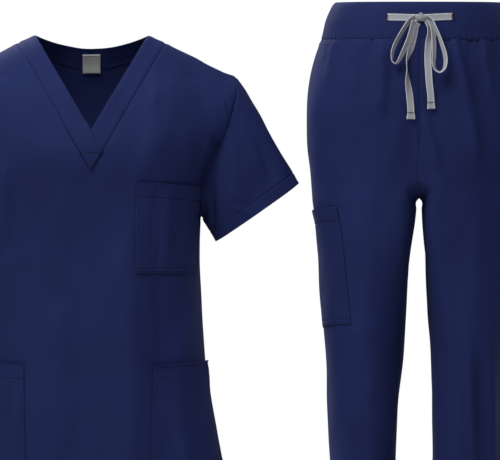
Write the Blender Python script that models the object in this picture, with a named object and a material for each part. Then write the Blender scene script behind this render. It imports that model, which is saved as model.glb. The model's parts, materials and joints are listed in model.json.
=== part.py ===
"""A two-piece set of scrubs: a short-sleeved V-neck top and drawstring trousers, hollow as when worn.

Metres, +Z up, the front towards -Y. The origin is on the top's centre line at the height of the neck points.
Left and right are as seen from the front.
"""

from typing import NamedTuple

import bpy
import numpy as np

# Cloth and seams
CLOTH = 0.0015
WAISTBAND_CLOTH = 0.0025
POCKET_CLOTH = 0.0012
SEAM_GAP = 0.0003
POCKET_GAP = 0.0007
CARGO_GAP = 0.0006
LABEL_GAP = 0.0008
LABEL_CLOTH = 0.0006
CARGO_GAPE = 0.0004
OVAL = 2.4
LEG_OVAL = 2.2

# Top: heights of its main points
HEM = -0.700
UNDERARM = -0.273
SHOULDER_TIP = -0.0615
SHOULDER_SLOPE = 0.52
SHOULDER_ROUND = 0.060
SHOULDER_FALL = 0.160
SHOULDER_CROWN = 0.0022
CROWN_START = 0.165
CROWN_END = 0.212
NECK_HALF_WIDTH = 0.086
ARMHOLE_DEPTH = {"front": 0.050, "back": 0.052}

# Neck
V_SEAM_TIP = -0.204
V_EDGE_TIP = -0.142
SEAM_AT_SHOULDER = 0.110
EDGE_AT_SHOULDER = 0.084
BACK_SEAM_DROP = -0.0475
BACK_EDGE_DROP = -0.018
LAP_END = (-0.018, -0.1725)
LAP_START = -0.125
LAP_LIFT = 0.0020
SEAM_CROWDING = 1.7
FIRST_SHARE = 0.06

# Sleeves
CUFF_CENTRE = (0.2485, -0.2638)
CUFF_HALF = (0.0620, 0.0433)
CUFF_DEPTH = 0.038
SLEEVE_FULLNESS = 0.003
SLEEVE_CROWN = 0.0035
CUFF_BOW = 0.0025
SLEEVE_AXIS = (0.575, -0.818)
EVEN_AT_SHOULDER = 0.7

# Trousers
TROUSER_X = 0.4905
CROTCH = -0.2415
WAIST_SEAM = -0.006
FRONT_RISE = 0.028
BACK_RISE = 0.110
CROTCH_ROUND = 0.034
LEG_START = -0.470

# Grid sizes of the walls
BODY_ROWS = 12
YOKE_ROWS = 12
BODY_COLUMNS = 10
SLEEVE_ROWS = 5
LEG_COLUMNS = 9
WAIST_COLUMNS = 36
CARGO_COLUMNS = 20
CARGO_ROWS = 6
POCKET_STEPS = 10


class TorsoSection(NamedTuple):
    height: float
    half_width: float
    front: float
    back: float


class ArmholeEdge(NamedTuple):
    height: float
    out: float


class TrouserSection(NamedTuple):
    height: float
    left_outer: float
    left_inner: float
    right_inner: float
    right_outer: float
    front: float
    back: float
    middle: float


class WaistSection(NamedTuple):
    height: float
    half_width: float
    front: float
    back: float


class Fold(NamedTuple):
    """A soft ridge, or a trough if its lift is negative, from one end to the other on a panel."""

    x1: float
    z1: float
    x2: float
    z2: float
    lift: float
    width: float


class Patch(NamedTuple):
    """A pocket's corners, and how far its mouth stands open, at its right-hand end or, below 0, at its left."""

    bottom_left: tuple
    bottom_right: tuple
    top_left: tuple
    top_right: tuple
    gape: float


class Strand(NamedTuple):
    """A point of a tape: sideways from the trousers' centre, height, distance off the cloth, and its turn."""

    x: float
    z: float
    off: float
    turn: float


TORSO = [
    TorsoSection(-0.700, 0.2080, 0.120, 0.112),
    TorsoSection(-0.636, 0.1965, 0.117, 0.110),
    TorsoSection(-0.590, 0.1865, 0.115, 0.107),
    TorsoSection(-0.546, 0.1785, 0.113, 0.103),
    TorsoSection(-0.471, 0.1680, 0.110, 0.094),
    TorsoSection(-0.396, 0.1630, 0.110, 0.090),
    TorsoSection(-0.336, 0.1620, 0.113, 0.094),
    TorsoSection(-0.273, 0.1640, 0.117, 0.101),
    TorsoSection(-0.150, 0.2000, 0.113, 0.104),
    TorsoSection(-0.060, 0.2400, 0.104, 0.099),
    TorsoSection(0.030, 0.2400, 0.100, 0.095),
]

ARMHOLE = [
    ArmholeEdge(-0.2730, 0.1640),
    ArmholeEdge(-0.2400, 0.1660),
    ArmholeEdge(-0.2100, 0.1715),
    ArmholeEdge(-0.1800, 0.1825),
    ArmholeEdge(-0.1470, 0.1990),
    ArmholeEdge(-0.1100, 0.2120),
    ArmholeEdge(-0.0810, 0.2180),
    ArmholeEdge(-0.0615, 0.2155),
]

TROUSERS = [
    TrouserSection(-1.0020, 0.1260, 0.0360, 0.0220, 0.1200, 0.062, 0.064, 0.010),
    TrouserSection(-0.8200, 0.1280, 0.0350, 0.0210, 0.1230, 0.065, 0.068, 0.006),
    TrouserSection(-0.6345, 0.1320, 0.0330, 0.0195, 0.1270, 0.069, 0.072, 0.000),
    TrouserSection(-0.5460, 0.1380, 0.0315, 0.0195, 0.1320, 0.074, 0.075, -0.002),
    TrouserSection(-0.4710, 0.1410, 0.0240, 0.0180, 0.1370, 0.080, 0.080, -0.002),
    TrouserSection(-0.3960, 0.1470, 0.0195, 0.0135, 0.1430, 0.086, 0.087, 0.000),
    TrouserSection(-0.3210, 0.1495, 0.0130, 0.0090, 0.1490, 0.092, 0.096, 0.002),
    TrouserSection(-0.2800, 0.1540, 0.0080, 0.0062, 0.1550, 0.095, 0.102, 0.003),
    TrouserSection(-0.2610, 0.1572, 0.0062, 0.0054, 0.1575, 0.097, 0.106, 0.004),
    TrouserSection(-0.2455, 0.1592, 0.0045, 0.0042, 0.1580, 0.098, 0.109, 0.004),
    TrouserSection(CROTCH, 0.1595, 0.0000, 0.0000, 0.1585, 0.098, 0.110, 0.004),
    TrouserSection(-0.2010, 0.1640, 0.0000, 0.0000, 0.1640, 0.100, 0.118, 0.003),
    TrouserSection(-0.1710, 0.1685, 0.0000, 0.0000, 0.1685, 0.101, 0.122, 0.002),
    TrouserSection(-0.1340, 0.1700, 0.0000, 0.0000, 0.1700, 0.103, 0.123, 0.001),
    TrouserSection(-0.0960, 0.1682, 0.0000, 0.0000, 0.1682, 0.104, 0.119, 0.000),
    TrouserSection(-0.0660, 0.1635, 0.0000, 0.0000, 0.1635, 0.104, 0.114, 0.000),
    TrouserSection(-0.0360, 0.1560, 0.0000, 0.0000, 0.1560, 0.102, 0.109, 0.000),
    TrouserSection(WAIST_SEAM, 0.1460, 0.0000, 0.0000, 0.1460, 0.099, 0.103, 0.000),
]

WAIST = [
    WaistSection(WAIST_SEAM, 0.1460, 0.099, 0.103),
    WaistSection(0.0100, 0.1420, 0.097, 0.101),
    WaistSection(0.0240, 0.1385, 0.095, 0.099),
    WaistSection(0.0360, 0.1340, 0.093, 0.097),
    WaistSection(0.0450, 0.1300, 0.091, 0.095),
    WaistSection(0.0500, 0.1265, 0.089, 0.093),
]

TOP_FRONT_FOLDS = [
    Fold(0.100, -0.070, 0.085, -0.200, 0.0035, 0.016),
    Fold(-0.122, -0.205, -0.140, -0.420, 0.0050, 0.016),
    Fold(0.035, -0.330, 0.050, -0.690, 0.0040, 0.030),
    Fold(-0.060, -0.360, -0.075, -0.690, 0.0040, 0.032),
    Fold(-0.010, -0.420, -0.012, -0.690, -0.0030, 0.026),
]

TOP_BACK_FOLDS = [
    Fold(0.105, -0.160, 0.085, -0.400, 0.0045, 0.020),
    Fold(-0.105, -0.150, -0.090, -0.380, 0.0045, 0.022),
    Fold(0.040, -0.330, 0.060, -0.690, -0.0050, 0.026),
    Fold(-0.045, -0.350, -0.070, -0.690, -0.0050, 0.030),
    Fold(0.000, -0.300, 0.005, -0.690, 0.0040, 0.028),
]

TROUSER_FRONT_FOLDS = [
    Fold(-0.054, -0.009, -0.060, -0.120, 0.0030, 0.012),
    Fold(0.054, -0.015, 0.085, -0.190, 0.0035, 0.013),
    Fold(0.004, -0.120, 0.028, -0.200, 0.0025, 0.009),
    Fold(-0.075, -0.230, -0.088, -0.560, 0.0030, 0.018),
    Fold(-0.070, -0.520, -0.080, -0.980, 0.0035, 0.014),
    Fold(0.085, -0.240, 0.080, -0.480, 0.0030, 0.018),
    Fold(0.090, -0.470, 0.098, -0.700, -0.0040, 0.011),
    Fold(0.060, -0.500, 0.066, -0.960, 0.0035, 0.014),
]

TROUSER_BACK_FOLDS = [
    Fold(-0.080, -0.220, -0.070, -0.420, -0.0045, 0.020),
    Fold(0.080, -0.220, 0.075, -0.430, -0.0045, 0.020),
    Fold(-0.090, -0.460, -0.082, -0.960, 0.0040, 0.016),
    Fold(0.080, -0.480, 0.070, -0.940, 0.0040, 0.016),
    Fold(-0.045, -0.030, -0.070, -0.140, 0.0030, 0.014),
    Fold(0.050, -0.030, 0.068, -0.150, 0.0030, 0.014),
]

# Pockets and label, by their corners seen from the front. The cargo pocket is by height and turn round the leg
CHEST_POCKET = Patch((0.0645, -0.3555), (0.1585, -0.3550), (0.0672, -0.2192), (0.1605, -0.2255), 0.0)
RIGHT_POCKET = Patch((0.0860, -0.6680), (0.1990, -0.6680), (0.0915, -0.4935), (0.1660, -0.4865), 0.0035)
LEFT_POCKET = Patch((-0.1990, -0.6680), (-0.0985, -0.6680), (-0.1660, -0.4865), (-0.0985, -0.4915), -0.0030)
MOUTH_START = 0.72
LEAST_GAPE = 0.35
LABEL_X = (-0.0150, 0.0120)
LABEL_Z = (-0.0540, -0.0255)
CARGO_HEIGHTS = (-0.4362, -0.2612)
CARGO_FRONT_TURN = (19.0, 32.5)
CARGO_BACK_TURN = (158.0, 146.0)
CARGO_DIP = 0.0060

# Drawstring
TAPE_WIDTH = 0.0104
TAPE_THICKNESS = 0.0012
KNOT_SIZE = (0.0150, 0.0085, 0.0110)

KNOT_AT = Strand(0.0014, 0.0267, 0.0066, 0.0)

TAPE_RUN = [
    Strand(-0.0485, 0.0269, 0.0004, 8.0),
    Strand(-0.0290, 0.0264, 0.0004, 8.0),
    Strand(-0.0100, 0.0258, 0.0004, 8.0),
    Strand(0.0120, 0.0260, 0.0004, 8.0),
    Strand(0.0310, 0.0270, 0.0004, 8.0),
    Strand(0.0490, 0.0278, 0.0004, 8.0),
]

LOOP_LEFT = [
    Strand(-0.0073, 0.0272, 0.0074, 45.0),
    Strand(-0.0153, 0.0213, 0.0078, 52.0),
    Strand(-0.0224, 0.0118, 0.0086, 55.0),
    Strand(-0.0310, -0.0024, 0.0092, 57.0),
    Strand(-0.0386, -0.0178, 0.0096, 60.0),
    Strand(-0.0417, -0.0321, 0.0096, 70.0),
    Strand(-0.0406, -0.0402, 0.0096, 84.0),
    Strand(-0.0372, -0.0430, 0.0096, 96.0),
    Strand(-0.0331, -0.0402, 0.0094, 110.0),
    Strand(-0.0283, -0.0321, 0.0104, 124.0),
    Strand(-0.0224, -0.0202, 0.0113, 134.0),
    Strand(-0.0158, -0.0048, 0.0110, 140.0),
    Strand(-0.0111, 0.0107, 0.0107, 142.0),
    Strand(-0.0082, 0.0212, 0.0101, 140.0),
]

LOOP_RIGHT = [
    Strand(0.0100, 0.0280, 0.0062, 112.0),
    Strand(0.0162, 0.0237, 0.0074, 112.0),
    Strand(0.0219, 0.0130, 0.0084, 112.0),
    Strand(0.0275, 0.0000, 0.0092, 114.0),
    Strand(0.0330, -0.0155, 0.0096, 120.0),
    Strand(0.0372, -0.0297, 0.0098, 124.0),
    Strand(0.0380, -0.0416, 0.0100, 120.0),
    Strand(0.0354, -0.0512, 0.0100, 108.0),
    Strand(0.0298, -0.0556, 0.0100, 100.0),
    Strand(0.0233, -0.0522, 0.0100, 106.0),
    Strand(0.0203, -0.0427, 0.0100, 118.0),
    Strand(0.0207, -0.0321, 0.0098, 126.0),
    Strand(0.0209, -0.0202, 0.0096, 128.0),
    Strand(0.0207, -0.0083, 0.0092, 128.0),
    Strand(0.0198, 0.0035, 0.0088, 126.0),
    Strand(0.0172, 0.0140, 0.0084, 122.0),
    Strand(0.0130, 0.0212, 0.0080, 118.0),
]

TAIL_LEFT = [
    Strand(-0.0036, 0.0190, 0.0020, 8.0),
    Strand(-0.0064, 0.0130, 0.0022, 14.0),
    Strand(-0.0085, 0.0012, 0.0022, 16.0),
    Strand(-0.0111, -0.0107, 0.0026, 22.0),
    Strand(-0.0141, -0.0214, 0.0030, 32.0),
    Strand(-0.0180, -0.0321, 0.0050, 62.0),
    Strand(-0.0199, -0.0416, 0.0060, 84.0),
    Strand(-0.0194, -0.0511, 0.0060, 88.0),
    Strand(-0.0191, -0.0582, 0.0056, 72.0),
    Strand(-0.0187, -0.0677, 0.0048, 50.0),
    Strand(-0.0170, -0.0795, 0.0034, 26.0),
    Strand(-0.0153, -0.0914, 0.0018, 10.0),
    Strand(-0.0142, -0.1033, 0.0010, 4.0),
    Strand(-0.0135, -0.1151, 0.0008, 0.0),
    Strand(-0.0135, -0.1258, 0.0008, 0.0),
]

TAIL_RIGHT = [
    Strand(0.0094, 0.0200, 0.0052, 60.0),
    Strand(0.0128, 0.0118, 0.0052, 66.0),
    Strand(0.0143, 0.0035, 0.0048, 54.0),
    Strand(0.0132, -0.0083, 0.0036, 26.0),
    Strand(0.0123, -0.0202, 0.0026, 10.0),
    Strand(0.0118, -0.0321, 0.0014, 2.0),
    Strand(0.0120, -0.0439, 0.0010, 0.0),
    Strand(0.0129, -0.0558, 0.0010, 0.0),
    Strand(0.0136, -0.0677, 0.0010, 0.0),
    Strand(0.0148, -0.0795, 0.0012, 0.0),
    Strand(0.0161, -0.0914, 0.0012, 0.0),
    Strand(0.0168, -0.1104, 0.0012, 0.0),
]


# Curves and tables
def through(rows, column, height):
    """Reads one column of a table at a height, on a smooth curve through its rows."""
    heights = np.array([row.height for row in rows])
    values = np.array([getattr(row, column) for row in rows])
    slopes = np.gradient(values, heights)
    height = np.clip(height, heights[0], heights[-1])
    i = np.clip(np.searchsorted(heights, height) - 1, 0, len(rows) - 2)
    step = heights[i + 1] - heights[i]
    t = (height - heights[i]) / step
    start = (1 + 2 * t) * (1 - t) ** 2 * values[i] + t * (1 - t) ** 2 * step * slopes[i]
    end = t * t * (3 - 2 * t) * values[i + 1] + t * t * (t - 1) * step * slopes[i + 1]
    return start + end


def oval(share, power):
    """How deep an oval is at a share of its half width, from 1 in the middle to 0 at its side."""
    return (1 - np.minimum(np.abs(share), 1.0) ** power) ** (1 / power)


def quarter(share):
    """A quarter circle's rise, from 0 at 0 to 1 at 1."""
    share = np.clip(share, 0.0, 1.0)
    return np.sqrt(share * (2 - share))


def fade(value, start, end):
    """A soft step from 0 at start to 1 at end."""
    t = np.clip((value - start) / (end - start), 0.0, 1.0)
    return t * t * (3 - 2 * t)


def fold_lift(folds, x, z):
    """The summed height of a panel's folds at places on it."""
    total = np.zeros(np.broadcast(x, z).shape)
    for fold in folds:
        along_x, along_z = fold.x2 - fold.x1, fold.z2 - fold.z1
        length = np.hypot(along_x, along_z)
        t = ((x - fold.x1) * along_x + (z - fold.z1) * along_z) / length**2
        away = ((x - fold.x1) * along_z - (z - fold.z1) * along_x) / length
        ends = fade(t, -0.15, 0.2) * (1 - fade(t, 0.8, 1.15))
        total = total + fold.lift * ends * np.exp(-((away / fold.width) ** 2))
    return total


# The top's surface
def shoulder_height(x):
    """Height of the shoulder line, which runs on in a round arch over the neck."""
    reach = np.hypot(x, SHOULDER_ROUND) - np.hypot(NECK_HALF_WIDTH, SHOULDER_ROUND)
    return SHOULDER_CROWN * fade(np.abs(x), CROWN_START, CROWN_END) - SHOULDER_SLOPE * reach


ARM_MIDDLE = (UNDERARM + SHOULDER_TIP) / 2
ARM_REACH = (SHOULDER_TIP - UNDERARM) / 2


def armhole_depth(part, z):
    """Distance of the armhole's edge in front of the shoulder's plane, or behind it."""
    return ARMHOLE_DEPTH[part] * np.sqrt(1 - np.clip((z - ARM_MIDDLE) / ARM_REACH, -1, 1) ** 2)


def torso_full_depth(part, x, z):
    return through(TORSO, part, z) * quarter((shoulder_height(x) - z) / SHOULDER_FALL)


def torso_half_width(part, z):
    """Half width of the body's oval. Above the underarm it is the oval that meets the armhole's edge."""
    z_arm = np.clip(z, UNDERARM, ARM_MIDDLE + 0.985 * ARM_REACH)
    edge = through(ARMHOLE, "out", z_arm)
    reach = armhole_depth(part, z_arm) / torso_full_depth(part, edge, z_arm)
    return np.where(z > UNDERARM, edge / oval(reach, OVAL), through(TORSO, "half_width", z))


def torso_point(part, x, z, off=0.0):
    """Point of the top's front or back at a place seen from the front."""
    share = oval(x / torso_half_width(part, z), OVAL)
    folds = TOP_FRONT_FOLDS if part == "front" else TOP_BACK_FOLDS
    depth = torso_full_depth(part, x, z) * share + fold_lift(folds, x, z) * share + off
    sign = -1.0 if part == "front" else 1.0
    return np.stack(np.broadcast_arrays(x, sign * depth, z), axis=-1)


# The trousers' surface
def crotch_arch(x, inner, z, rise):
    """How far the cloth stands out, from 0 at the edge between the legs to 1 beyond the arch's two reaches."""
    beside = np.sqrt(np.maximum(x * x - inner * inner, 0.0)) / CROTCH_ROUND
    above = np.maximum(z - CROTCH, 0.0) / rise
    return np.sqrt(1 - (1 - np.clip(np.hypot(beside, above), 0.0, 1.0)) ** 3)


def trouser_point(side, angle, z):
    """Point of one leg and its half of the hips. Angle -90 degrees is the inside, 0 the front, 90 the side."""
    name = "left" if side < 0 else "right"
    outer = through(TROUSERS, name + "_outer", z)
    inner = np.where(z < CROTCH, through(TROUSERS, name + "_inner", z), 0.0)
    centre, radius = (outer + inner) / 2, (outer - inner) / 2
    front = np.cos(angle) >= 0
    x = centre + radius * np.sin(angle)
    leg = oval(np.sin(angle), LEG_OVAL)
    rise = np.where(front, FRONT_RISE, BACK_RISE)
    hips = oval(x / outer, OVAL) * crotch_arch(x, inner, z, rise)
    joined = fade(z, LEG_START, CROTCH)
    shape = (1 - joined) * leg + joined * hips
    depth = np.where(front, through(TROUSERS, "front", z), through(TROUSERS, "back", z))
    folds = np.where(
        front,
        fold_lift(TROUSER_FRONT_FOLDS, side * x, z),
        fold_lift(TROUSER_BACK_FOLDS, side * x, z),
    )
    y = through(TROUSERS, "middle", z) + np.where(front, -1.0, 1.0) * (depth + folds) * shape
    return np.stack(np.broadcast_arrays(TROUSER_X + side * x, y, z), axis=-1)


def waist_point(angle, z):
    """Point of the waistband. The angle runs anticlockwise seen from above, from the left side."""
    half_width = through(WAIST, "half_width", z)
    front = np.sin(angle) >= 0
    depth = np.where(front, through(WAIST, "front", z), through(WAIST, "back", z))
    x = -half_width * np.sign(np.cos(angle)) * np.abs(np.cos(angle)) ** (2 / OVAL)
    y = -depth * np.sign(np.sin(angle)) * np.abs(np.sin(angle)) ** (2 / OVAL)
    return np.stack(np.broadcast_arrays(TROUSER_X + x, y, z), axis=-1)


def trousers_front(x, z):
    """How far the hips' front, or the waistband's, stands before the centre plane."""
    band = through(WAIST, "front", z) * oval(x / through(WAIST, "half_width", z), OVAL)
    depth = through(TROUSERS, "front", z) + fold_lift(TROUSER_FRONT_FOLDS, x, z)
    hips = depth * oval(x / through(TROUSERS, "left_outer", z), OVAL)
    return np.where(z > WAIST_SEAM, band, hips - through(TROUSERS, "middle", z))


# Meshes
def facing(points, ring=False):
    """Outward direction at each point of a grid whose rows rise and whose columns run left to right."""
    up = np.gradient(points, axis=0)
    if ring:
        across = np.roll(points, -1, axis=1) - np.roll(points, 1, axis=1)
    else:
        across = np.gradient(points, axis=1)
    return unit(np.cross(across, up))


def unit(vectors):
    return vectors / np.linalg.norm(vectors, axis=-1, keepdims=True)


def levelled(vectors, axis):
    """The directions with one axis taken out, for an edge that lies on a seam's plane."""
    kept = np.array(vectors)
    kept[..., axis] = 0.0
    return unit(kept)


def material(name, colour, roughness):
    finish = bpy.data.materials.new(name)
    finish.use_nodes = True
    surface = finish.node_tree.nodes["Principled BSDF"]
    surface.inputs["Base Color"].default_value = (*colour, 1.0)
    surface.inputs["Roughness"].default_value = roughness
    surface.inputs["Metallic"].default_value = 0.0
    return finish


def solid(name, points, faces, finish):
    mesh = bpy.data.meshes.new(name)
    mesh.from_pydata([tuple(p) for p in points], [], faces)
    mesh.validate()
    mesh.shade_smooth()
    mesh.set_sharp_from_angle(angle=np.radians(50))
    mesh.materials.append(finish)
    scrubs.objects.link(bpy.data.objects.new(name, mesh))


def wall(name, grids, finish, thickness=CLOTH, ring=False):
    """A closed wall of cloth: outer grids, the same grids moved in along their directions, and a rim."""
    places, points, directions, quads = {}, [], [], []
    for grid, outward in grids:
        rows, columns = grid.shape[:2]
        index = np.zeros((rows, columns), int)
        for row in range(rows):
            for column in range(columns):
                key = tuple(np.round(grid[row, column], 7))
                if key not in places:
                    places[key] = len(points)
                    points.append(grid[row, column])
                    directions.append(np.zeros(3))
                index[row, column] = places[key]
                directions[places[key]] = directions[places[key]] + outward[row, column]
        last = columns if ring else columns - 1
        for row in range(rows - 1):
            for column in range(last):
                after = (column + 1) % columns
                corners = [index[row, column], index[row, after]]
                corners += [index[row + 1, after], index[row + 1, column]]
                quads.append([int(i) for i in dict.fromkeys(corners)])
    outer = np.array(points)
    inner = outer - unit(np.array(directions)) * thickness
    count = len(outer)
    faces = list(quads)
    edges = {}
    for quad in quads:
        faces.append([i + count for i in reversed(quad)])
        for a, b in zip(quad, quad[1:] + quad[:1]):
            edges[a, b] = True
    for a, b in edges:
        if (b, a) not in edges:
            faces.append([b, a, a + count, b + count])
    solid(name, np.concatenate([outer, inner]), faces, finish)


# The top
def front_seam(row):
    """Place of the V's seam at a row of the yoke, from its tip to the shoulder."""
    share = 1 - (1 - row) ** SEAM_CROWDING
    x = SEAM_AT_SHOULDER * share
    return x, V_SEAM_TIP + (shoulder_height(SEAM_AT_SHOULDER) - V_SEAM_TIP) * share


def front_edge(row):
    """Place of the V's open edge at a row of the yoke, from the end of its lap to the shoulder."""
    share = 1 - (1 - row) ** SEAM_CROWDING
    x = LAP_END[0] + (EDGE_AT_SHOULDER - LAP_END[0]) * share
    return x, LAP_END[1] + (shoulder_height(EDGE_AT_SHOULDER) - LAP_END[1]) * share


def back_curve(row, reach, drop):
    """Place on a back neckline, from the centre back to the shoulder."""
    return reach * row, drop + (shoulder_height(reach) - drop) * row * row


NECK_ROW = {"front": 3, "back": 7}


def neck_share(part, row):
    return (row - NECK_ROW[part]) / (YOKE_ROWS - NECK_ROW[part])


def inner_place(part, row):
    """Where a yoke row starts: on the centre line up to the neck seam, then on that seam."""
    tip = V_SEAM_TIP if part == "front" else BACK_SEAM_DROP
    if row <= NECK_ROW[part]:
        return 0.0, UNDERARM + (tip - UNDERARM) * row / NECK_ROW[part]
    if part == "front":
        return front_seam(neck_share(part, row))
    return back_curve(neck_share(part, row), SEAM_AT_SHOULDER, BACK_SEAM_DROP)


def along_shoulder(start, end, share, row_share):
    """Places across a row that turns from level at the underarm to the shoulder's line at the top."""
    x = start[0] + (end[0] - start[0]) * share
    straight = start[1] + (end[1] - start[1]) * share
    start_drop = shoulder_height(start[0]) - start[1]
    end_drop = shoulder_height(end[0]) - end[1]
    followed = shoulder_height(x) - start_drop - (end_drop - start_drop) * share
    return x, straight + (followed - straight) * row_share


def armhole_place(row):
    z = ARM_MIDDLE - ARM_REACH * np.cos(np.pi * row / YOKE_ROWS)
    return through(ARMHOLE, "out", z), z


def turned(part, side):
    """Whether a half's columns run from its side to the centre, seen from outside."""
    return (part == "front") != (side > 0)


def torso_half(part, side):
    """One half of the front or back, from the hem up to the shoulder seam."""
    across = np.linspace(0.0, 1.0, BODY_COLUMNS + 1)
    curved = np.sin(across * np.pi / 2)
    rows = []
    for z in np.linspace(HEM, UNDERARM, BODY_ROWS + 1)[:-1]:
        x = side * through(TORSO, "half_width", z) * curved
        rows.append(torso_point(part, x, np.full_like(x, z)))
    for row in range(YOKE_ROWS + 1):
        row_share = row / YOKE_ROWS
        share = curved + (across - curved) * EVEN_AT_SHOULDER * row_share
        x, z = along_shoulder(inner_place(part, row), armhole_place(row), share, row_share)
        points = torso_point(part, side * x, z)
        if row == YOKE_ROWS:
            points[:, 1] = 0.0
        rows.append(points)
    grid = np.array(rows)
    grid[: BODY_ROWS + 1, -1, 1] = 0.0
    return grid[:, ::-1] if turned(part, side) else grid


def sleeve_half(part, side, armhole):
    """One sleeve's front or back. Rows rise from the cuff to the armhole."""
    around = np.linspace(0.0, np.pi, YOKE_ROWS + 1)
    sign = -1.0 if part == "front" else 1.0
    cuff = np.stack([
        side * (CUFF_CENTRE[0] - CUFF_HALF[0] * np.cos(around) + CUFF_BOW * SLEEVE_AXIS[0] * np.sin(around)),
        sign * CUFF_DEPTH * np.sin(around),
        CUFF_CENTRE[1] - CUFF_HALF[1] * np.cos(around) + CUFF_BOW * SLEEVE_AXIS[1] * np.sin(around),
    ], axis=-1)
    length = np.linalg.norm(cuff - armhole, axis=-1, keepdims=True)
    rows = []
    for step in np.linspace(1.0, 0.0, SLEEVE_ROWS + 1):
        gap = SEAM_GAP / length
        share = gap + (1 - gap) * step
        points = armhole + (cuff - armhole) * share
        points[:, 1] += sign * SLEEVE_FULLNESS * np.sin(around) * np.sin(np.pi * step) ** 2
        crown = SLEEVE_CROWN * np.sin(np.pi * step) * (1 - np.cos(around)) / 2
        points[:, 0] -= side * crown * SLEEVE_AXIS[1]
        points[:, 2] += crown * SLEEVE_AXIS[0]
        rows.append(points)
    grid = np.array(rows)
    return grid[:, ::-1] if turned(part, side) else grid


def body_and_sleeve(part, side):
    """Half a body panel and half a sleeve, with directions that agree along the armhole's seam."""
    grid = torso_half(part, side)
    out, centre = (0, -1) if turned(part, side) else (-1, 0)
    normals = facing(grid)
    normals[: BODY_ROWS + 1, out] = levelled(normals[: BODY_ROWS + 1, out], 1)
    normals[-1] = levelled(normals[-1], 1)
    upto = BODY_ROWS + NECK_ROW[part] + 1
    normals[:upto, centre] = levelled(normals[:upto, centre], 0)
    sleeve = sleeve_half(part, side, grid[BODY_ROWS:, out])
    sleeve_normals = facing(sleeve)
    for edge in (0, -1):
        sleeve_normals[:, edge] = levelled(sleeve_normals[:, edge], 1)
    seam = sleeve_normals[-1, ::-1] if turned(part, side) else sleeve_normals[-1]
    mitre = unit(normals[BODY_ROWS:, out] + seam)
    mitre[0], mitre[-1] = levelled(mitre[0], 1), levelled(mitre[-1], 1)
    normals[BODY_ROWS:, out] = mitre
    sleeve_normals[-1] = mitre[::-1] if turned(part, side) else mitre
    return (grid, normals), (sleeve, sleeve_normals)


def make_top():
    navy = material("navy twill, top", (0.017, 0.022, 0.090), 0.85)
    band = material("navy twill, neckband", (0.015, 0.020, 0.082), 0.85)
    sleeves = {}
    for part in ("front", "back"):
        shift = np.array([0.0, -1.0 if part == "front" else 1.0, 0.0]) * SEAM_GAP / 2
        halves = []
        for side in (-1, 1):
            (grid, normals), sleeves[part, side] = body_and_sleeve(part, side)
            halves.append((grid + shift, normals))
        wall("top_" + part, halves, navy)
    for name, side, order in (("sleeve_left", -1, ("back", "front")), ("sleeve_right", 1, ("front", "back"))):
        (near, near_out), (far, far_out) = [sleeves[part, side] for part in order]
        grid = np.concatenate([near, far[:, 1:-1]], axis=1)
        normals = np.concatenate([near_out, far_out[:, 1:-1]], axis=1)
        wall(name, [(grid, normals)], navy, ring=True)
    make_neckband(band)
    make_neck_label()


def make_neckband(finish):
    """The band: two lapped front strips and a back strip, seamed at the shoulders."""
    across = np.array([0.0, 0.5, 1.0])
    steps = np.arange(NECK_ROW["front"], YOKE_ROWS + 1)
    for side, name in ((-1, "neckband_left"), (1, "neckband_right")):
        rows = []
        for row in steps:
            share = neck_share("front", row)
            if side > 0:
                share = FIRST_SHARE + (1 - FIRST_SHARE) * share
            seam, edge = front_seam(share), front_edge(share)
            width = np.hypot(seam[0] - edge[0], seam[1] - edge[1])
            x, z = along_shoulder(edge, seam, across * (1 - SEAM_GAP / width), 1.0)
            lap = LAP_LIFT * (1 - fade(z, V_EDGE_TIP, LAP_START)) if side < 0 else 0.0
            points = torso_point("front", side * x, z, lap)
            if row == YOKE_ROWS:
                points[:, 1] = 0.0
            points[:, 1] -= SEAM_GAP / 2
            rows.append(points)
        grid = np.array(rows)[:, ::side]
        normals = facing(grid)
        normals[-1] = levelled(normals[-1], 1)
        wall(name, [(grid, normals)], finish)
    places = [neck_share("back", row) for row in range(NECK_ROW["back"], YOKE_ROWS + 1)]
    halves = []
    for side in (1, -1):
        rows = []
        for share in across:
            line = []
            for place in places:
                seam = back_curve(place, SEAM_AT_SHOULDER, BACK_SEAM_DROP)
                edge = back_curve(place, EDGE_AT_SHOULDER, BACK_EDGE_DROP)
                start = SEAM_GAP / np.hypot(seam[0] - edge[0], seam[1] - edge[1])
                x, z = along_shoulder(seam, edge, start + (1 - start) * share, 1.0)
                point = torso_point("back", side * x, z)
                point[1] = 0.0 if place == 1.0 else point[1]
                line.append(point)
            rows.append(line)
        halves.append(np.array(rows))
    grid = np.concatenate([halves[0][:, ::-1], halves[1][:, 1:]], axis=1)
    grid[..., 1] += SEAM_GAP / 2
    normals = facing(grid)
    for edge in (0, -1):
        normals[:, edge] = levelled(normals[:, edge], 1)
    wall("neckband_back", [(grid, normals)], finish)


def make_neck_label():
    """A plain square tab inside the back neck."""
    x, z = np.meshgrid(np.linspace(*LABEL_X, 4), np.linspace(*LABEL_Z, 4))
    grid = torso_point("back", x, z)
    inward = facing(grid)
    grid = grid + inward * (CLOTH + LABEL_GAP + LABEL_CLOTH)
    grey = material("grey woven tab", (0.130, 0.127, 0.128), 0.8)
    wall("neck_label", [(grid, inward)], grey, thickness=LABEL_CLOTH)


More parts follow.
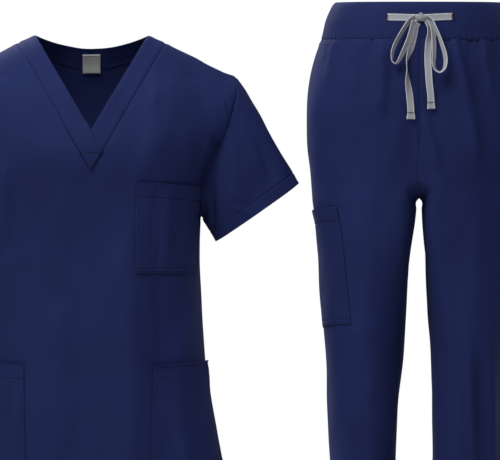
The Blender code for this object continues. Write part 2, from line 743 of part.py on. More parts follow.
def patch_on_front(patch):
    """A pocket's outer grid on the top's front, with its directions."""
    rows = []
    shares = np.linspace(0.0, 1.0, POCKET_STEPS + 1)
    for up in shares:
        left = np.array(patch.bottom_left) + (np.array(patch.top_left) - patch.bottom_left) * up
        right = np.array(patch.bottom_right) + (np.array(patch.top_right) - patch.bottom_right) * up
        turns = [np.arcsin(np.clip(x / torso_half_width("front", z), -1, 1)) for x, z in (left, right)]
        z = left[1] + (right[1] - left[1]) * shares
        x = torso_half_width("front", z) * np.sin(turns[0] + (turns[1] - turns[0]) * shares)
        rows.append(torso_point("front", x, z))
    grid = np.array(rows)
    grid[..., 1] -= SEAM_GAP / 2
    normals = facing(grid)
    mouth = fade(shares, MOUTH_START, 1.0)[:, None]
    towards = (shares if patch.gape > 0 else 1 - shares)[None, :]
    off = POCKET_GAP + POCKET_CLOTH + abs(patch.gape) * mouth * (LEAST_GAPE + (1 - LEAST_GAPE) * towards**2)
    return grid + normals * off[..., None], normals


def make_top_pockets():
    finish = material("navy twill, pockets", (0.015, 0.020, 0.084), 0.85)
    for name, patch in (
        ("chest_pocket", CHEST_POCKET),
        ("lower_pocket_right", RIGHT_POCKET),
        ("lower_pocket_left", LEFT_POCKET),
    ):
        wall(name, [patch_on_front(patch)], finish, thickness=POCKET_CLOTH)


# The trousers
def trouser_rows():
    """Row heights: the legs from the hem to the crotch, then the hips, closer where the legs join."""
    legs = [-1.002, -0.920, -0.820, -0.720, -0.635, -0.560, -0.490, -0.420, -0.360, -0.310, -0.275]
    arch = [-0.2570, -0.2455, CROTCH]
    joined = [CROTCH + FRONT_RISE * (1 - np.cos(np.radians(a))) for a in (18, 36, 54, 72, 90)]
    hips = [-0.180, -0.150, -0.120, -0.090, -0.062, -0.035, WAIST_SEAM - SEAM_GAP]
    return np.array(legs + arch + joined + hips)


def make_trousers():
    navy = material("navy twill, trousers", (0.014, 0.020, 0.085), 0.85)
    heights = trouser_rows()
    crotch_row = int(np.argmin(np.abs(heights - CROTCH)))
    for side, side_name in ((-1, "left"), (1, "right")):
        for part, first in (("front", -90.0), ("back", 90.0)):
            angles = np.radians(np.linspace(first, first + 180.0, LEG_COLUMNS + 1))
            if part == "back":
                angles[0] += 1e-9
                angles[-1] -= 1e-9
            grid = np.array([trouser_point(side, angles, np.full_like(angles, z)) for z in heights])
            inside, outside = (0, -1) if part == "front" else (-1, 0)
            grid[:, outside, 1] = through(TROUSERS, "middle", heights)
            grid[: crotch_row + 1, inside, 1] = through(TROUSERS, "middle", heights[: crotch_row + 1])
            if side < 0:
                grid = grid[:, ::-1]
                inside, outside = outside, inside
            normals = facing(grid)
            normals[:, outside] = levelled(normals[:, outside], 1)
            normals[:crotch_row, inside] = levelled(normals[:crotch_row, inside], 1)
            normals[crotch_row:, inside] = levelled(normals[crotch_row:, inside], 0)
            normals[crotch_row, inside] = (0.0, 0.0, -1.0)
            shift = [0.0, -SEAM_GAP / 2 if part == "front" else SEAM_GAP / 2, 0.0]
            grid = grid + np.array(shift)
            grid[..., 0] += side * SEAM_GAP / 2 * (heights[:, None] >= CROTCH)
            wall(f"trouser_{part}_{side_name}", [(grid, normals)], navy)
    make_waistband()
    make_cargo_pocket()


def make_waistband():
    finish = material("navy twill, waistband", (0.014, 0.018, 0.076), 0.85)
    angles = np.linspace(0.0, 2 * np.pi, WAIST_COLUMNS, endpoint=False)
    heights = np.array([WAIST_SEAM, 0.014, 0.034, 0.050])
    grid = np.array([waist_point(angles, np.full_like(angles, z)) for z in heights])
    normals = levelled(facing(grid, ring=True), 2)
    wall("waistband", [(grid, normals)], finish, thickness=WAISTBAND_CLOTH, ring=True)


def make_cargo_pocket():
    """The pocket that wraps the left leg's outer side."""
    finish = material("navy twill, cargo pocket", (0.013, 0.019, 0.080), 0.85)
    shares = np.linspace(0.0, 1.0, CARGO_ROWS + 1)
    rows = []
    for up in shares:
        front_turn = CARGO_FRONT_TURN[0] + (CARGO_FRONT_TURN[1] - CARGO_FRONT_TURN[0]) * up
        back_turn = CARGO_BACK_TURN[0] + (CARGO_BACK_TURN[1] - CARGO_BACK_TURN[0]) * up
        angles = np.radians(np.linspace(front_turn, back_turn, CARGO_COLUMNS + 1))
        z = CARGO_HEIGHTS[0] + (CARGO_HEIGHTS[1] - CARGO_HEIGHTS[0]) * up + CARGO_DIP * np.cos(angles)
        rows.append(trouser_point(-1, angles, z))
    grid = np.array(rows)[:, ::-1]
    in_front = grid[..., 1] < through(TROUSERS, "middle", grid[..., 2])
    grid[..., 1] += np.where(in_front, -1.0, 1.0) * SEAM_GAP / 2
    normals = facing(grid)
    off = CARGO_GAP + POCKET_CLOTH + CARGO_GAPE * fade(shares, MOUTH_START, 1.0)
    wall("cargo_pocket", [(grid + normals * off[:, None, None], normals)], finish, thickness=POCKET_CLOTH)


# The drawstring
def tape_points(route, steps):
    """Points and turns along a smooth curve through a tape's route."""
    table = np.array([(s.x, s.z, s.off, np.radians(s.turn)) for s in route])
    lengths = np.hypot(*np.diff(table[:, :2], axis=0).T)
    place = np.concatenate([[0.0], np.cumsum(lengths)])
    slopes = np.gradient(table, place, axis=0)
    at = np.linspace(0.0, place[-1], steps)
    i = np.clip(np.searchsorted(place, at) - 1, 0, len(place) - 2)
    step = (place[i + 1] - place[i])[:, None]
    t = (at[:, None] - place[i][:, None]) / step
    start = (1 + 2 * t) * (1 - t) ** 2 * table[i] + t * (1 - t) ** 2 * step * slopes[i]
    end = t * t * (3 - 2 * t) * table[i + 1] + t * t * (t - 1) * step * slopes[i + 1]
    return start + end


def tape(name, route, steps, finish):
    """A flat tape swept along its route, turned about it by each point's angle."""
    x, z, off, turn = tape_points(route, steps).T
    y = -trousers_front(x, z) - off - TAPE_THICKNESS / 2
    centre = np.stack([TROUSER_X + x, y, z], axis=-1)
    along = unit(np.gradient(centre, axis=0))
    out = np.array([0.0, -1.0, 0.0])
    flat = unit(np.cross(along, out))
    raised = unit(np.cross(flat, along))
    across = flat * np.cos(turn)[:, None] + raised * np.sin(turn)[:, None]
    outward = unit(np.cross(across, along))
    shares = np.array([-0.5, 0.5])[None, :, None]
    grid = centre[:, None] + across[:, None] * shares * TAPE_WIDTH
    normals = np.repeat(outward[:, None], 2, axis=1)
    wall(name, [(grid + normals * TAPE_THICKNESS / 2, normals)], finish, thickness=TAPE_THICKNESS)


def make_knot(finish):
    """The flat knot, a ball pressed to its size."""
    bpy.ops.mesh.primitive_uv_sphere_add(segments=16, ring_count=10, radius=0.5)
    knot = bpy.context.object
    knot.name = "drawstring_knot"
    knot.data.name = "drawstring_knot"
    depth = float(trousers_front(KNOT_AT.x, KNOT_AT.z))
    knot.location = (TROUSER_X + KNOT_AT.x, -depth - KNOT_AT.off, KNOT_AT.z)
    for vertex in knot.data.vertices:
        squared = [np.sign(c) * 0.5 * (2 * abs(c)) ** 0.8 for c in vertex.co]
        vertex.co = [c * size for c, size in zip(squared, KNOT_SIZE)]
    knot.data.shade_smooth()
    knot.data.materials.append(finish)
    for other in list(knot.users_collection):
        other.objects.unlink(knot)
    scrubs.objects.link(knot)


def make_drawstring():
    finish = material("pale grey flat tape", (0.560, 0.580, 0.600), 0.75)
    tape("drawstring_run", TAPE_RUN, 14, finish)
    tape("drawstring_loop_left", LOOP_LEFT, 34, finish)
    tape("drawstring_loop_right", LOOP_RIGHT, 38, finish)
    tape("drawstring_tail_left", TAIL_LEFT, 26, finish)
    tape("drawstring_tail_right", TAIL_RIGHT, 22, finish)
    make_knot(finish)


for old in list(bpy.data.objects):
    bpy.data.objects.remove(old, do_unlink=True)
scrubs = bpy.data.collections.new("scrubs")
bpy.context.scene.collection.children.link(scrubs)
make_top()
make_top_pockets()
make_trousers()
make_drawstring()
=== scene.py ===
"""Looks of a set of scrubs: a V-neck top and drawstring trousers of navy stretch twill, worn but empty.

Metres, +Z up, the front towards -Y. The origin is on the top's centre line at the height of the neck points.
Left and right are as seen from the front. The camera and the drawstring come first, then the studio and
the finishes, then each garment's cloth with its sewing.
"""

import json
from typing import NamedTuple

import bpy
import numpy as np
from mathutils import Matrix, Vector

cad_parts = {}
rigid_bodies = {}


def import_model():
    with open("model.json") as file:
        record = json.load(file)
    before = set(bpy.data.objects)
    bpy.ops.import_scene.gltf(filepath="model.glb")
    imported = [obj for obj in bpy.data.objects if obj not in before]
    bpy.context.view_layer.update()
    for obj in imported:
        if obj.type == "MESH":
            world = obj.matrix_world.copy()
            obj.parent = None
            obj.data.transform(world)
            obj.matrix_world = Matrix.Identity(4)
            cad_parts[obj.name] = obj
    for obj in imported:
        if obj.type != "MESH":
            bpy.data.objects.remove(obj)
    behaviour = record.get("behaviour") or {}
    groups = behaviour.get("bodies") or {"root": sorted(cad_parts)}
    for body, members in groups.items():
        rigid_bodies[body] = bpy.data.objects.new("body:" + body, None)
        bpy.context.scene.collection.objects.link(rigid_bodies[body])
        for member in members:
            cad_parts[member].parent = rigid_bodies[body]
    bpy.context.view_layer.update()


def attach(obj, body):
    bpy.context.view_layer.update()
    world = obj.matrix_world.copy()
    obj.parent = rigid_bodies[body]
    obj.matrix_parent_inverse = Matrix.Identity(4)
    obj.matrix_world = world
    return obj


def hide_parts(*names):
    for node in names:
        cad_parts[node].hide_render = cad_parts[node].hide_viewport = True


for old in list(bpy.data.objects):
    bpy.data.objects.remove(old, do_unlink=True)
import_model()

# Camera: a long lens straight from the front, so that sizes read the same all over the frame
CAMERA_DISTANCE = 18.0
FRAME_WIDTH = 0.750
FRAME_CENTRE = (0.237, -0.291)
SENSOR = 36.0

# Visible cloth, in metres
SHELL = 0.0010
BAND_SHELL = 0.0020
POCKET_SHELL = 0.0009
CELL = 0.0045
LEAST_CELL = 0.00035
SEAM_DIP = 0.0008
SEAM_SOFT = 0.0016
SEAM_PUFF = 0.0004
GROOVE = 0.0006
GROOVE_WIDTH = 0.0011
STITCH = 0.0026
STITCH_STEP = 0.0034
THREAD = 0.00055

# Cloth and seams
CLOTH = 0.0015
WAISTBAND_CLOTH = 0.0025
POCKET_CLOTH = 0.0012
POCKET_GAP = 0.0007
LABEL_GAP = 0.0008
LABEL_CLOTH = 0.0006
CARGO_GAPE = 0.0012
OVAL = 2.4
LEG_OVAL = 2.2

# Top: heights of its main points, widths and depths
HEM = -0.700
UNDERARM = -0.273
SHOULDER_TIP = -0.0615
PANEL_HALF_WIDTH = 0.255
SHOULDER_SLOPE = 0.52
SHOULDER_ROUND = 0.060
SHOULDER_FALL = 0.160
SHOULDER_CROWN = 0.0022
CROWN_START = 0.165
CROWN_END = 0.212
NECK_HALF_WIDTH = 0.086
ARMHOLE_DEPTH = {"front": 0.050, "back": 0.052}

# Neck
V_SEAM_TIP = -0.204
V_EDGE_TIP = -0.142
SEAM_AT_SHOULDER = 0.110
EDGE_AT_SHOULDER = 0.084
BACK_SEAM_DROP = -0.0475
BACK_EDGE_DROP = -0.018
LAP_END = (-0.018, -0.1725)
LAP_START = -0.125
LAP_LIFT = 0.0020
BAND_WIDTH = 0.030
BAND_CELL = 0.0022
SEAM_CROWDING = 1.7
FIRST_SHARE = 0.06

# Sleeves
CUFF_CENTRE = (0.2485, -0.2638)
CUFF_HALF = (0.0620, 0.0433)
CUFF_DEPTH = 0.038
SLEEVE_FULLNESS = 0.003
SLEEVE_CROWN = 0.0035
CUFF_BOW = 0.0025
SLEEVE_AXIS = (0.575, -0.818)

# Trousers
TROUSER_X = 0.4905
CROTCH = -0.2415
WAIST_SEAM = -0.006
FRONT_RISE = 0.028
BACK_RISE = 0.110
CROTCH_ROUND = 0.034
LEG_START = -0.470
LEG_FOOT = -1.002
LEG_LENGTH = 0.727
LEG_PANEL_WIDTH = 0.215
LEG_CELL = 0.0024
UNDER_WAIST_STITCHES = 0.004
BAND_STITCHES = 0.003

# Rows of the yoke, from the underarm to the shoulder
YOKE_ROWS = 12

# Pockets: rows of stitches in from an edge, the mouth's part of the height, its least gape
EDGE_STITCHES = (0.0015, 0.0065)
POCKET_CELL = 0.0040
MOUTH_RIM = 0.0020
MOUTH_START = 0.72
LEAST_GAPE = 0.35
BAR_TACK = {"length": 0.0012, "step": 0.0006, "width": 0.0008}

# Cargo pocket: size, heights of its foot and mouth, turns round the leg in degrees from foot to mouth
CARGO_WIDTH = 0.215
CARGO_HEIGHT = 0.1750
CARGO_HEM = 0.022
CARGO_SLOT = 0.0360
CARGO_FOOT = -0.4362
CARGO_MOUTH = -0.2612
CARGO_DIP = 0.0060
CARGO_FRONT_TURN = (19.0, 32.5)
CARGO_BACK_TURN = (158.0, 146.0)
CARGO_LIFT = 0.0016


class TorsoSection(NamedTuple):
    height: float
    half_width: float
    front: float
    back: float


class ArmholeEdge(NamedTuple):
    height: float
    out: float


class TrouserSection(NamedTuple):
    height: float
    left_outer: float
    left_inner: float
    right_inner: float
    right_outer: float
    front: float
    back: float
    middle: float


class WaistSection(NamedTuple):
    height: float
    half_width: float
    front: float
    back: float


class Fold(NamedTuple):
    """A soft ridge, or a trough if its lift is negative, from one end to the other on a panel."""

    x1: float
    z1: float
    x2: float
    z2: float
    lift: float
    width: float


class Strand(NamedTuple):
    """A point of a tape: sideways from the trousers' centre, height, room off the cloth, turn in degrees."""

    x: float
    z: float
    off: float
    turn: float


TORSO = [
    TorsoSection(-0.700, 0.2080, 0.120, 0.112),
    TorsoSection(-0.636, 0.1965, 0.117, 0.110),
    TorsoSection(-0.590, 0.1865, 0.115, 0.107),
    TorsoSection(-0.546, 0.1785, 0.113, 0.103),
    TorsoSection(-0.471, 0.1680, 0.110, 0.094),
    TorsoSection(-0.396, 0.1630, 0.110, 0.090),
    TorsoSection(-0.336, 0.1620, 0.113, 0.094),
    TorsoSection(-0.273, 0.1640, 0.117, 0.101),
    TorsoSection(-0.150, 0.2000, 0.113, 0.104),
    TorsoSection(-0.060, 0.2400, 0.104, 0.099),
    TorsoSection(0.030, 0.2400, 0.100, 0.095),
]

ARMHOLE = [
    ArmholeEdge(-0.2730, 0.1640),
    ArmholeEdge(-0.2400, 0.1660),
    ArmholeEdge(-0.2100, 0.1715),
    ArmholeEdge(-0.1800, 0.1825),
    ArmholeEdge(-0.1470, 0.1990),
    ArmholeEdge(-0.1100, 0.2120),
    ArmholeEdge(-0.0810, 0.2180),
    ArmholeEdge(-0.0615, 0.2155),
]

TROUSERS = [
    TrouserSection(-1.0020, 0.1260, 0.0360, 0.0220, 0.1200, 0.062, 0.064, 0.010),
    TrouserSection(-0.8200, 0.1280, 0.0350, 0.0210, 0.1230, 0.065, 0.068, 0.006),
    TrouserSection(-0.6345, 0.1320, 0.0330, 0.0195, 0.1270, 0.069, 0.072, 0.000),
    TrouserSection(-0.5460, 0.1380, 0.0315, 0.0195, 0.1320, 0.074, 0.075, -0.002),
    TrouserSection(-0.4710, 0.1410, 0.0240, 0.0180, 0.1370, 0.080, 0.080, -0.002),
    TrouserSection(-0.3960, 0.1470, 0.0195, 0.0135, 0.1430, 0.086, 0.087, 0.000),
    TrouserSection(-0.3210, 0.1495, 0.0130, 0.0090, 0.1490, 0.092, 0.096, 0.002),
    TrouserSection(-0.2800, 0.1540, 0.0080, 0.0062, 0.1550, 0.095, 0.102, 0.003),
    TrouserSection(-0.2610, 0.1572, 0.0062, 0.0054, 0.1575, 0.097, 0.106, 0.004),
    TrouserSection(-0.2455, 0.1592, 0.0045, 0.0042, 0.1580, 0.098, 0.109, 0.004),
    TrouserSection(CROTCH, 0.1595, 0.0000, 0.0000, 0.1585, 0.098, 0.110, 0.004),
    TrouserSection(-0.2010, 0.1640, 0.0000, 0.0000, 0.1640, 0.100, 0.118, 0.003),
    TrouserSection(-0.1710, 0.1685, 0.0000, 0.0000, 0.1685, 0.101, 0.122, 0.002),
    TrouserSection(-0.1340, 0.1700, 0.0000, 0.0000, 0.1700, 0.103, 0.123, 0.001),
    TrouserSection(-0.0960, 0.1682, 0.0000, 0.0000, 0.1682, 0.104, 0.119, 0.000),
    TrouserSection(-0.0660, 0.1635, 0.0000, 0.0000, 0.1635, 0.104, 0.114, 0.000),
    TrouserSection(-0.0360, 0.1560, 0.0000, 0.0000, 0.1560, 0.102, 0.109, 0.000),
    TrouserSection(WAIST_SEAM, 0.1460, 0.0000, 0.0000, 0.1460, 0.099, 0.103, 0.000),
]

WAIST = [
    WaistSection(WAIST_SEAM, 0.1460, 0.099, 0.103),
    WaistSection(0.0100, 0.1420, 0.097, 0.101),
    WaistSection(0.0240, 0.1385, 0.095, 0.099),
    WaistSection(0.0360, 0.1340, 0.093, 0.097),
    WaistSection(0.0450, 0.1300, 0.091, 0.095),
    WaistSection(0.0500, 0.1265, 0.089, 0.093),
]

TOP_FRONT_FOLDS = [
    Fold(0.100, -0.070, 0.085, -0.200, 0.0035, 0.016),
    Fold(-0.122, -0.205, -0.140, -0.420, 0.0050, 0.016),
    Fold(0.035, -0.330, 0.050, -0.690, 0.0040, 0.030),
    Fold(-0.060, -0.360, -0.075, -0.690, 0.0040, 0.032),
    Fold(-0.010, -0.420, -0.012, -0.690, -0.0030, 0.026),
]

TOP_BACK_FOLDS = [
    Fold(0.105, -0.160, 0.085, -0.400, 0.0045, 0.020),
    Fold(-0.105, -0.150, -0.090, -0.380, 0.0045, 0.022),
    Fold(0.040, -0.330, 0.060, -0.690, -0.0050, 0.026),
    Fold(-0.045, -0.350, -0.070, -0.690, -0.0050, 0.030),
    Fold(0.000, -0.300, 0.005, -0.690, 0.0040, 0.028),
]

TROUSER_FRONT_FOLDS = [
    Fold(-0.054, -0.009, -0.060, -0.120, 0.0030, 0.012),
    Fold(0.054, -0.015, 0.085, -0.190, 0.0035, 0.013),
    Fold(0.004, -0.120, 0.028, -0.200, 0.0025, 0.009),
    Fold(-0.075, -0.230, -0.088, -0.560, 0.0030, 0.018),
    Fold(-0.070, -0.520, -0.080, -0.980, 0.0035, 0.014),
    Fold(0.085, -0.240, 0.080, -0.480, 0.0030, 0.018),
    Fold(0.090, -0.470, 0.098, -0.700, -0.0040, 0.011),
    Fold(0.060, -0.500, 0.066, -0.960, 0.0035, 0.014),
]

TROUSER_BACK_FOLDS = [
    Fold(-0.080, -0.220, -0.070, -0.420, -0.0045, 0.020),
    Fold(0.080, -0.220, 0.075, -0.430, -0.0045, 0.020),
    Fold(-0.090, -0.460, -0.082, -0.960, 0.0040, 0.016),
    Fold(0.080, -0.480, 0.070, -0.940, 0.0040, 0.016),
    Fold(-0.045, -0.030, -0.070, -0.140, 0.0030, 0.014),
    Fold(0.050, -0.030, 0.068, -0.150, 0.0030, 0.014),
]

# Drawstring
TAPE_WIDTH = 0.0104
TAPE_THICKNESS = 0.0012
TAPE_FOLD = 0.0098
KNOT_AT = Strand(0.0014, 0.0267, 0.0066, 0.0)

# Turns of tape in the knot: an oval's two reaches, shift, axis, width, thickness, first and last angle
KNOT_WRAPS = [
    ((0.0046, 0.0034), (0.0, 0.0, 0.0), (1.0, 0.0, 0.16), 0.0064, 0.0012, -200.0, 158.0),
    ((0.0034, 0.0024), (-0.0034, 0.0004, -0.0004), (0.9, 0.0, -0.5), 0.0066, 0.0012, -190.0, 168.0),
    ((0.0034, 0.0024), (0.0036, 0.0004, -0.0002), (0.9, 0.0, 0.5), 0.0066, 0.0012, -190.0, 168.0),
    ((0.0018, 0.0014), (0.0, -0.0012, 0.0042), (1.0, 0.0, -0.4), 0.0056, 0.0012, -190.0, 168.0),
    ((0.0016, 0.0012), (0.0, 0.0, 0.0), (1.0, 0.0, 0.0), 0.0110, 0.0016, -190.0, 168.0),
]

TAPE_RUN = [
    Strand(-0.0485, 0.0269, 0.0004, 8.0),
    Strand(-0.0290, 0.0264, 0.0004, 8.0),
    Strand(-0.0100, 0.0258, 0.0004, 8.0),
    Strand(0.0120, 0.0260, 0.0004, 8.0),
    Strand(0.0310, 0.0270, 0.0004, 8.0),
    Strand(0.0490, 0.0278, 0.0004, 8.0),
]

LOOP_LEFT = [
    Strand(-0.0073, 0.0272, 0.0074, 45.0),
    Strand(-0.0153, 0.0213, 0.0078, 52.0),
    Strand(-0.0224, 0.0118, 0.0086, 55.0),
    Strand(-0.0310, -0.0024, 0.0092, 57.0),
    Strand(-0.0386, -0.0178, 0.0096, 60.0),
    Strand(-0.0417, -0.0321, 0.0096, 70.0),
    Strand(-0.0406, -0.0402, 0.0096, 84.0),
    Strand(-0.0372, -0.0430, 0.0096, 96.0),
    Strand(-0.0331, -0.0402, 0.0094, 110.0),
    Strand(-0.0283, -0.0321, 0.0104, 124.0),
    Strand(-0.0224, -0.0202, 0.0113, 134.0),
    Strand(-0.0158, -0.0048, 0.0110, 140.0),
    Strand(-0.0111, 0.0107, 0.0107, 142.0),
    Strand(-0.0082, 0.0212, 0.0101, 140.0),
]

LOOP_RIGHT = [
    Strand(0.0100, 0.0280, 0.0062, 112.0),
    Strand(0.0162, 0.0237, 0.0074, 112.0),
    Strand(0.0219, 0.0130, 0.0084, 112.0),
    Strand(0.0275, 0.0000, 0.0092, 114.0),
    Strand(0.0330, -0.0155, 0.0096, 120.0),
    Strand(0.0372, -0.0297, 0.0098, 124.0),
    Strand(0.0380, -0.0416, 0.0100, 120.0),
    Strand(0.0354, -0.0512, 0.0100, 108.0),
    Strand(0.0298, -0.0556, 0.0100, 100.0),
    Strand(0.0233, -0.0522, 0.0100, 106.0),
    Strand(0.0203, -0.0427, 0.0100, 118.0),
    Strand(0.0207, -0.0321, 0.0098, 126.0),
    Strand(0.0209, -0.0202, 0.0096, 128.0),
    Strand(0.0207, -0.0083, 0.0092, 128.0),
    Strand(0.0198, 0.0035, 0.0088, 126.0),
    Strand(0.0172, 0.0140, 0.0084, 122.0),
    Strand(0.0130, 0.0212, 0.0080, 118.0),
]

TAIL_LEFT = [
    Strand(-0.0036, 0.0190, 0.0020, 8.0),
    Strand(-0.0064, 0.0130, 0.0022, 14.0),
    Strand(-0.0085, 0.0012, 0.0022, 16.0),
    Strand(-0.0111, -0.0107, 0.0026, 22.0),
    Strand(-0.0141, -0.0214, 0.0030, 32.0),
    Strand(-0.0180, -0.0321, 0.0050, 62.0),
    Strand(-0.0199, -0.0416, 0.0060, 84.0),
    Strand(-0.0194, -0.0511, 0.0060, 88.0),
    Strand(-0.0191, -0.0582, 0.0056, 72.0),
    Strand(-0.0187, -0.0677, 0.0048, 50.0),
    Strand(-0.0170, -0.0795, 0.0034, 26.0),
    Strand(-0.0153, -0.0914, 0.0018, 10.0),
    Strand(-0.0142, -0.1033, 0.0010, 4.0),
    Strand(-0.0135, -0.1151, 0.0008, 0.0),
    Strand(-0.0135, -0.1258, 0.0008, 0.0),
]

TAIL_RIGHT = [
    Strand(0.0094, 0.0200, 0.0052, 60.0),
    Strand(0.0128, 0.0118, 0.0052, 66.0),
    Strand(0.0143, 0.0035, 0.0048, 54.0),
    Strand(0.0132, -0.0083, 0.0036, 26.0),
    Strand(0.0123, -0.0202, 0.0026, 10.0),
    Strand(0.0118, -0.0321, 0.0014, 2.0),
    Strand(0.0120, -0.0439, 0.0010, 0.0),
    Strand(0.0129, -0.0558, 0.0010, 0.0),
    Strand(0.0136, -0.0677, 0.0010, 0.0),
    Strand(0.0148, -0.0795, 0.0012, 0.0),
    Strand(0.0161, -0.0914, 0.0012, 0.0),
    Strand(0.0168, -0.1104, 0.0012, 0.0),
]


# Curves and tables
def through(rows, column, height):
    """Reads one column of a table at a height, on a smooth curve through its rows."""
    heights = np.array([row.height for row in rows])
    values = np.array([getattr(row, column) for row in rows])
    slopes = np.gradient(values, heights)
    height = np.clip(height, heights[0], heights[-1])
    i = np.clip(np.searchsorted(heights, height) - 1, 0, len(rows) - 2)
    step = heights[i + 1] - heights[i]
    t = (height - heights[i]) / step
    start = (1 + 2 * t) * (1 - t) ** 2 * values[i] + t * (1 - t) ** 2 * step * slopes[i]
    end = t * t * (3 - 2 * t) * values[i + 1] + t * t * (t - 1) * step * slopes[i + 1]
    return start + end


def oval(share, power):
    """How deep an oval is at a share of its half width, from 1 in the middle to 0 at its side."""
    return (1 - np.minimum(np.abs(share), 1.0) ** power) ** (1 / power)


def quarter(share):
    """A quarter circle's rise, from 0 at 0 to 1 at 1."""
    share = np.clip(share, 0.0, 1.0)
    return np.sqrt(share * (2 - share))


def fade(value, start, end):
    """A soft step from 0 at start to 1 at end."""
    t = np.clip((value - start) / (end - start), 0.0, 1.0)
    return t * t * (3 - 2 * t)


def fold_lift(folds, x, z):
    """The summed height of a panel's folds at places on it."""
    total = np.zeros(np.broadcast(x, z).shape)
    for fold in folds:
        along_x, along_z = fold.x2 - fold.x1, fold.z2 - fold.z1
        length = np.hypot(along_x, along_z)
        t = ((x - fold.x1) * along_x + (z - fold.z1) * along_z) / length**2
        away = ((x - fold.x1) * along_z - (z - fold.z1) * along_x) / length
        ends = fade(t, -0.15, 0.2) * (1 - fade(t, 0.8, 1.15))
        total = total + fold.lift * ends * np.exp(-((away / fold.width) ** 2))
    return total


# The top's surface
def shoulder_height(x):
    """Height of the shoulder line, which runs on in a round arch over the neck."""
    reach = np.hypot(x, SHOULDER_ROUND) - np.hypot(NECK_HALF_WIDTH, SHOULDER_ROUND)
    return SHOULDER_CROWN * fade(np.abs(x), CROWN_START, CROWN_END) - SHOULDER_SLOPE * reach


ARM_MIDDLE = (UNDERARM + SHOULDER_TIP) / 2
ARM_REACH = (SHOULDER_TIP - UNDERARM) / 2


def armhole_depth(part, z):
    """Distance of the armhole's edge in front of the shoulder's plane, or behind it."""
    return ARMHOLE_DEPTH[part] * np.sqrt(1 - np.clip((z - ARM_MIDDLE) / ARM_REACH, -1, 1) ** 2)


def torso_full_depth(part, x, z):
    """Depth at the middle of the body's oval, rounded off towards the shoulder line."""
    return through(TORSO, part, z) * quarter((shoulder_height(x) - z) / SHOULDER_FALL)


def torso_half_width(part, z):
    """Half width of the body's oval. Above the underarm it is the oval that meets the armhole's edge."""
    z_arm = np.clip(z, UNDERARM, ARM_MIDDLE + 0.985 * ARM_REACH)
    edge = through(ARMHOLE, "out", z_arm)
    reach = armhole_depth(part, z_arm) / torso_full_depth(part, edge, z_arm)
    return np.where(z > UNDERARM, edge / oval(reach, OVAL), through(TORSO, "half_width", z))


def torso_point(part, x, z, off=0.0):
    """Point of the top's front or back at a place seen from the front."""
    share = oval(x / torso_half_width(part, z), OVAL)
    folds = TOP_FRONT_FOLDS if part == "front" else TOP_BACK_FOLDS
    depth = torso_full_depth(part, x, z) * share + fold_lift(folds, x, z) * share + off
    sign = -1.0 if part == "front" else 1.0
    return np.stack(np.broadcast_arrays(x, sign * depth, z), axis=-1)


# The trousers' surface
def crotch_arch(x, inner, z, rise):
    """How far the cloth stands out: 0 at the edge between the legs, 1 beyond the arch's two reaches."""
    beside = np.sqrt(np.maximum(x * x - inner * inner, 0.0)) / CROTCH_ROUND
    above = np.maximum(z - CROTCH, 0.0) / rise
    return np.sqrt(1 - (1 - np.clip(np.hypot(beside, above), 0.0, 1.0)) ** 3)


def trouser_point(side, angle, z):
    """Point of a leg and its half of the hips. Angle -90 degrees is the inside, 0 the front, 90 the side."""
    name = "left" if side < 0 else "right"
    outer = through(TROUSERS, name + "_outer", z)
    inner = np.where(z < CROTCH, through(TROUSERS, name + "_inner", z), 0.0)
    centre, radius = (outer + inner) / 2, (outer - inner) / 2
    front = np.cos(angle) >= 0
    x = centre + radius * np.sin(angle)
    leg = oval(np.sin(angle), LEG_OVAL)
    rise = np.where(front, FRONT_RISE, BACK_RISE)
    hips = oval(x / outer, OVAL) * crotch_arch(x, inner, z, rise)
    joined = fade(z, LEG_START, CROTCH)
    shape = (1 - joined) * leg + joined * hips
    depth = np.where(front, through(TROUSERS, "front", z), through(TROUSERS, "back", z))
    folds = np.where(
        front,
        fold_lift(TROUSER_FRONT_FOLDS, side * x, z),
        fold_lift(TROUSER_BACK_FOLDS, side * x, z),
    )
    y = through(TROUSERS, "middle", z) + np.where(front, -1.0, 1.0) * (depth + folds) * shape
    return np.stack(np.broadcast_arrays(TROUSER_X + side * x, y, z), axis=-1)


def waist_point(angle, z):
    """Point of the waistband. The angle runs anticlockwise seen from above, from the left side."""
    half_width = through(WAIST, "half_width", z)
    front = np.sin(angle) >= 0
    depth = np.where(front, through(WAIST, "front", z), through(WAIST, "back", z))
    x = -half_width * np.sign(np.cos(angle)) * np.abs(np.cos(angle)) ** (2 / OVAL)
    y = -depth * np.sign(np.sin(angle)) * np.abs(np.sin(angle)) ** (2 / OVAL)
    return np.stack(np.broadcast_arrays(TROUSER_X + x, y, z), axis=-1)


def trousers_front(x, z):
    """How far the hips' front, or the waistband's, stands before the centre plane."""
    band = through(WAIST, "front", z) * oval(x / through(WAIST, "half_width", z), OVAL)
    depth = through(TROUSERS, "front", z) + fold_lift(TROUSER_FRONT_FOLDS, x, z)
    hips = depth * oval(x / through(TROUSERS, "left_outer", z), OVAL)
    return np.where(z > WAIST_SEAM, band, hips - through(TROUSERS, "middle", z))


# Camera
def make_camera():
    """A long lens in front of the set, with the photo's frame."""
    camera = bpy.data.objects.new("camera", bpy.data.cameras.new("camera"))
    camera.data.sensor_width = SENSOR
    camera.data.lens = SENSOR * CAMERA_DISTANCE / FRAME_WIDTH
    camera.location = (FRAME_CENTRE[0], -CAMERA_DISTANCE, FRAME_CENTRE[1])
    camera.rotation_euler = (np.radians(90.0), 0.0, 0.0)
    bpy.context.scene.collection.objects.link(camera)
    bpy.context.scene.camera = camera


# Finishes
def linear(hex_colour):
    """An sRGB hex colour as linear red, green, blue and alpha."""
    parts = [int(hex_colour[i : i + 2], 16) / 255 for i in (1, 3, 5)]
    return (*[c / 12.92 if c <= 0.04045 else ((c + 0.055) / 1.055) ** 2.4 for c in parts], 1.0)


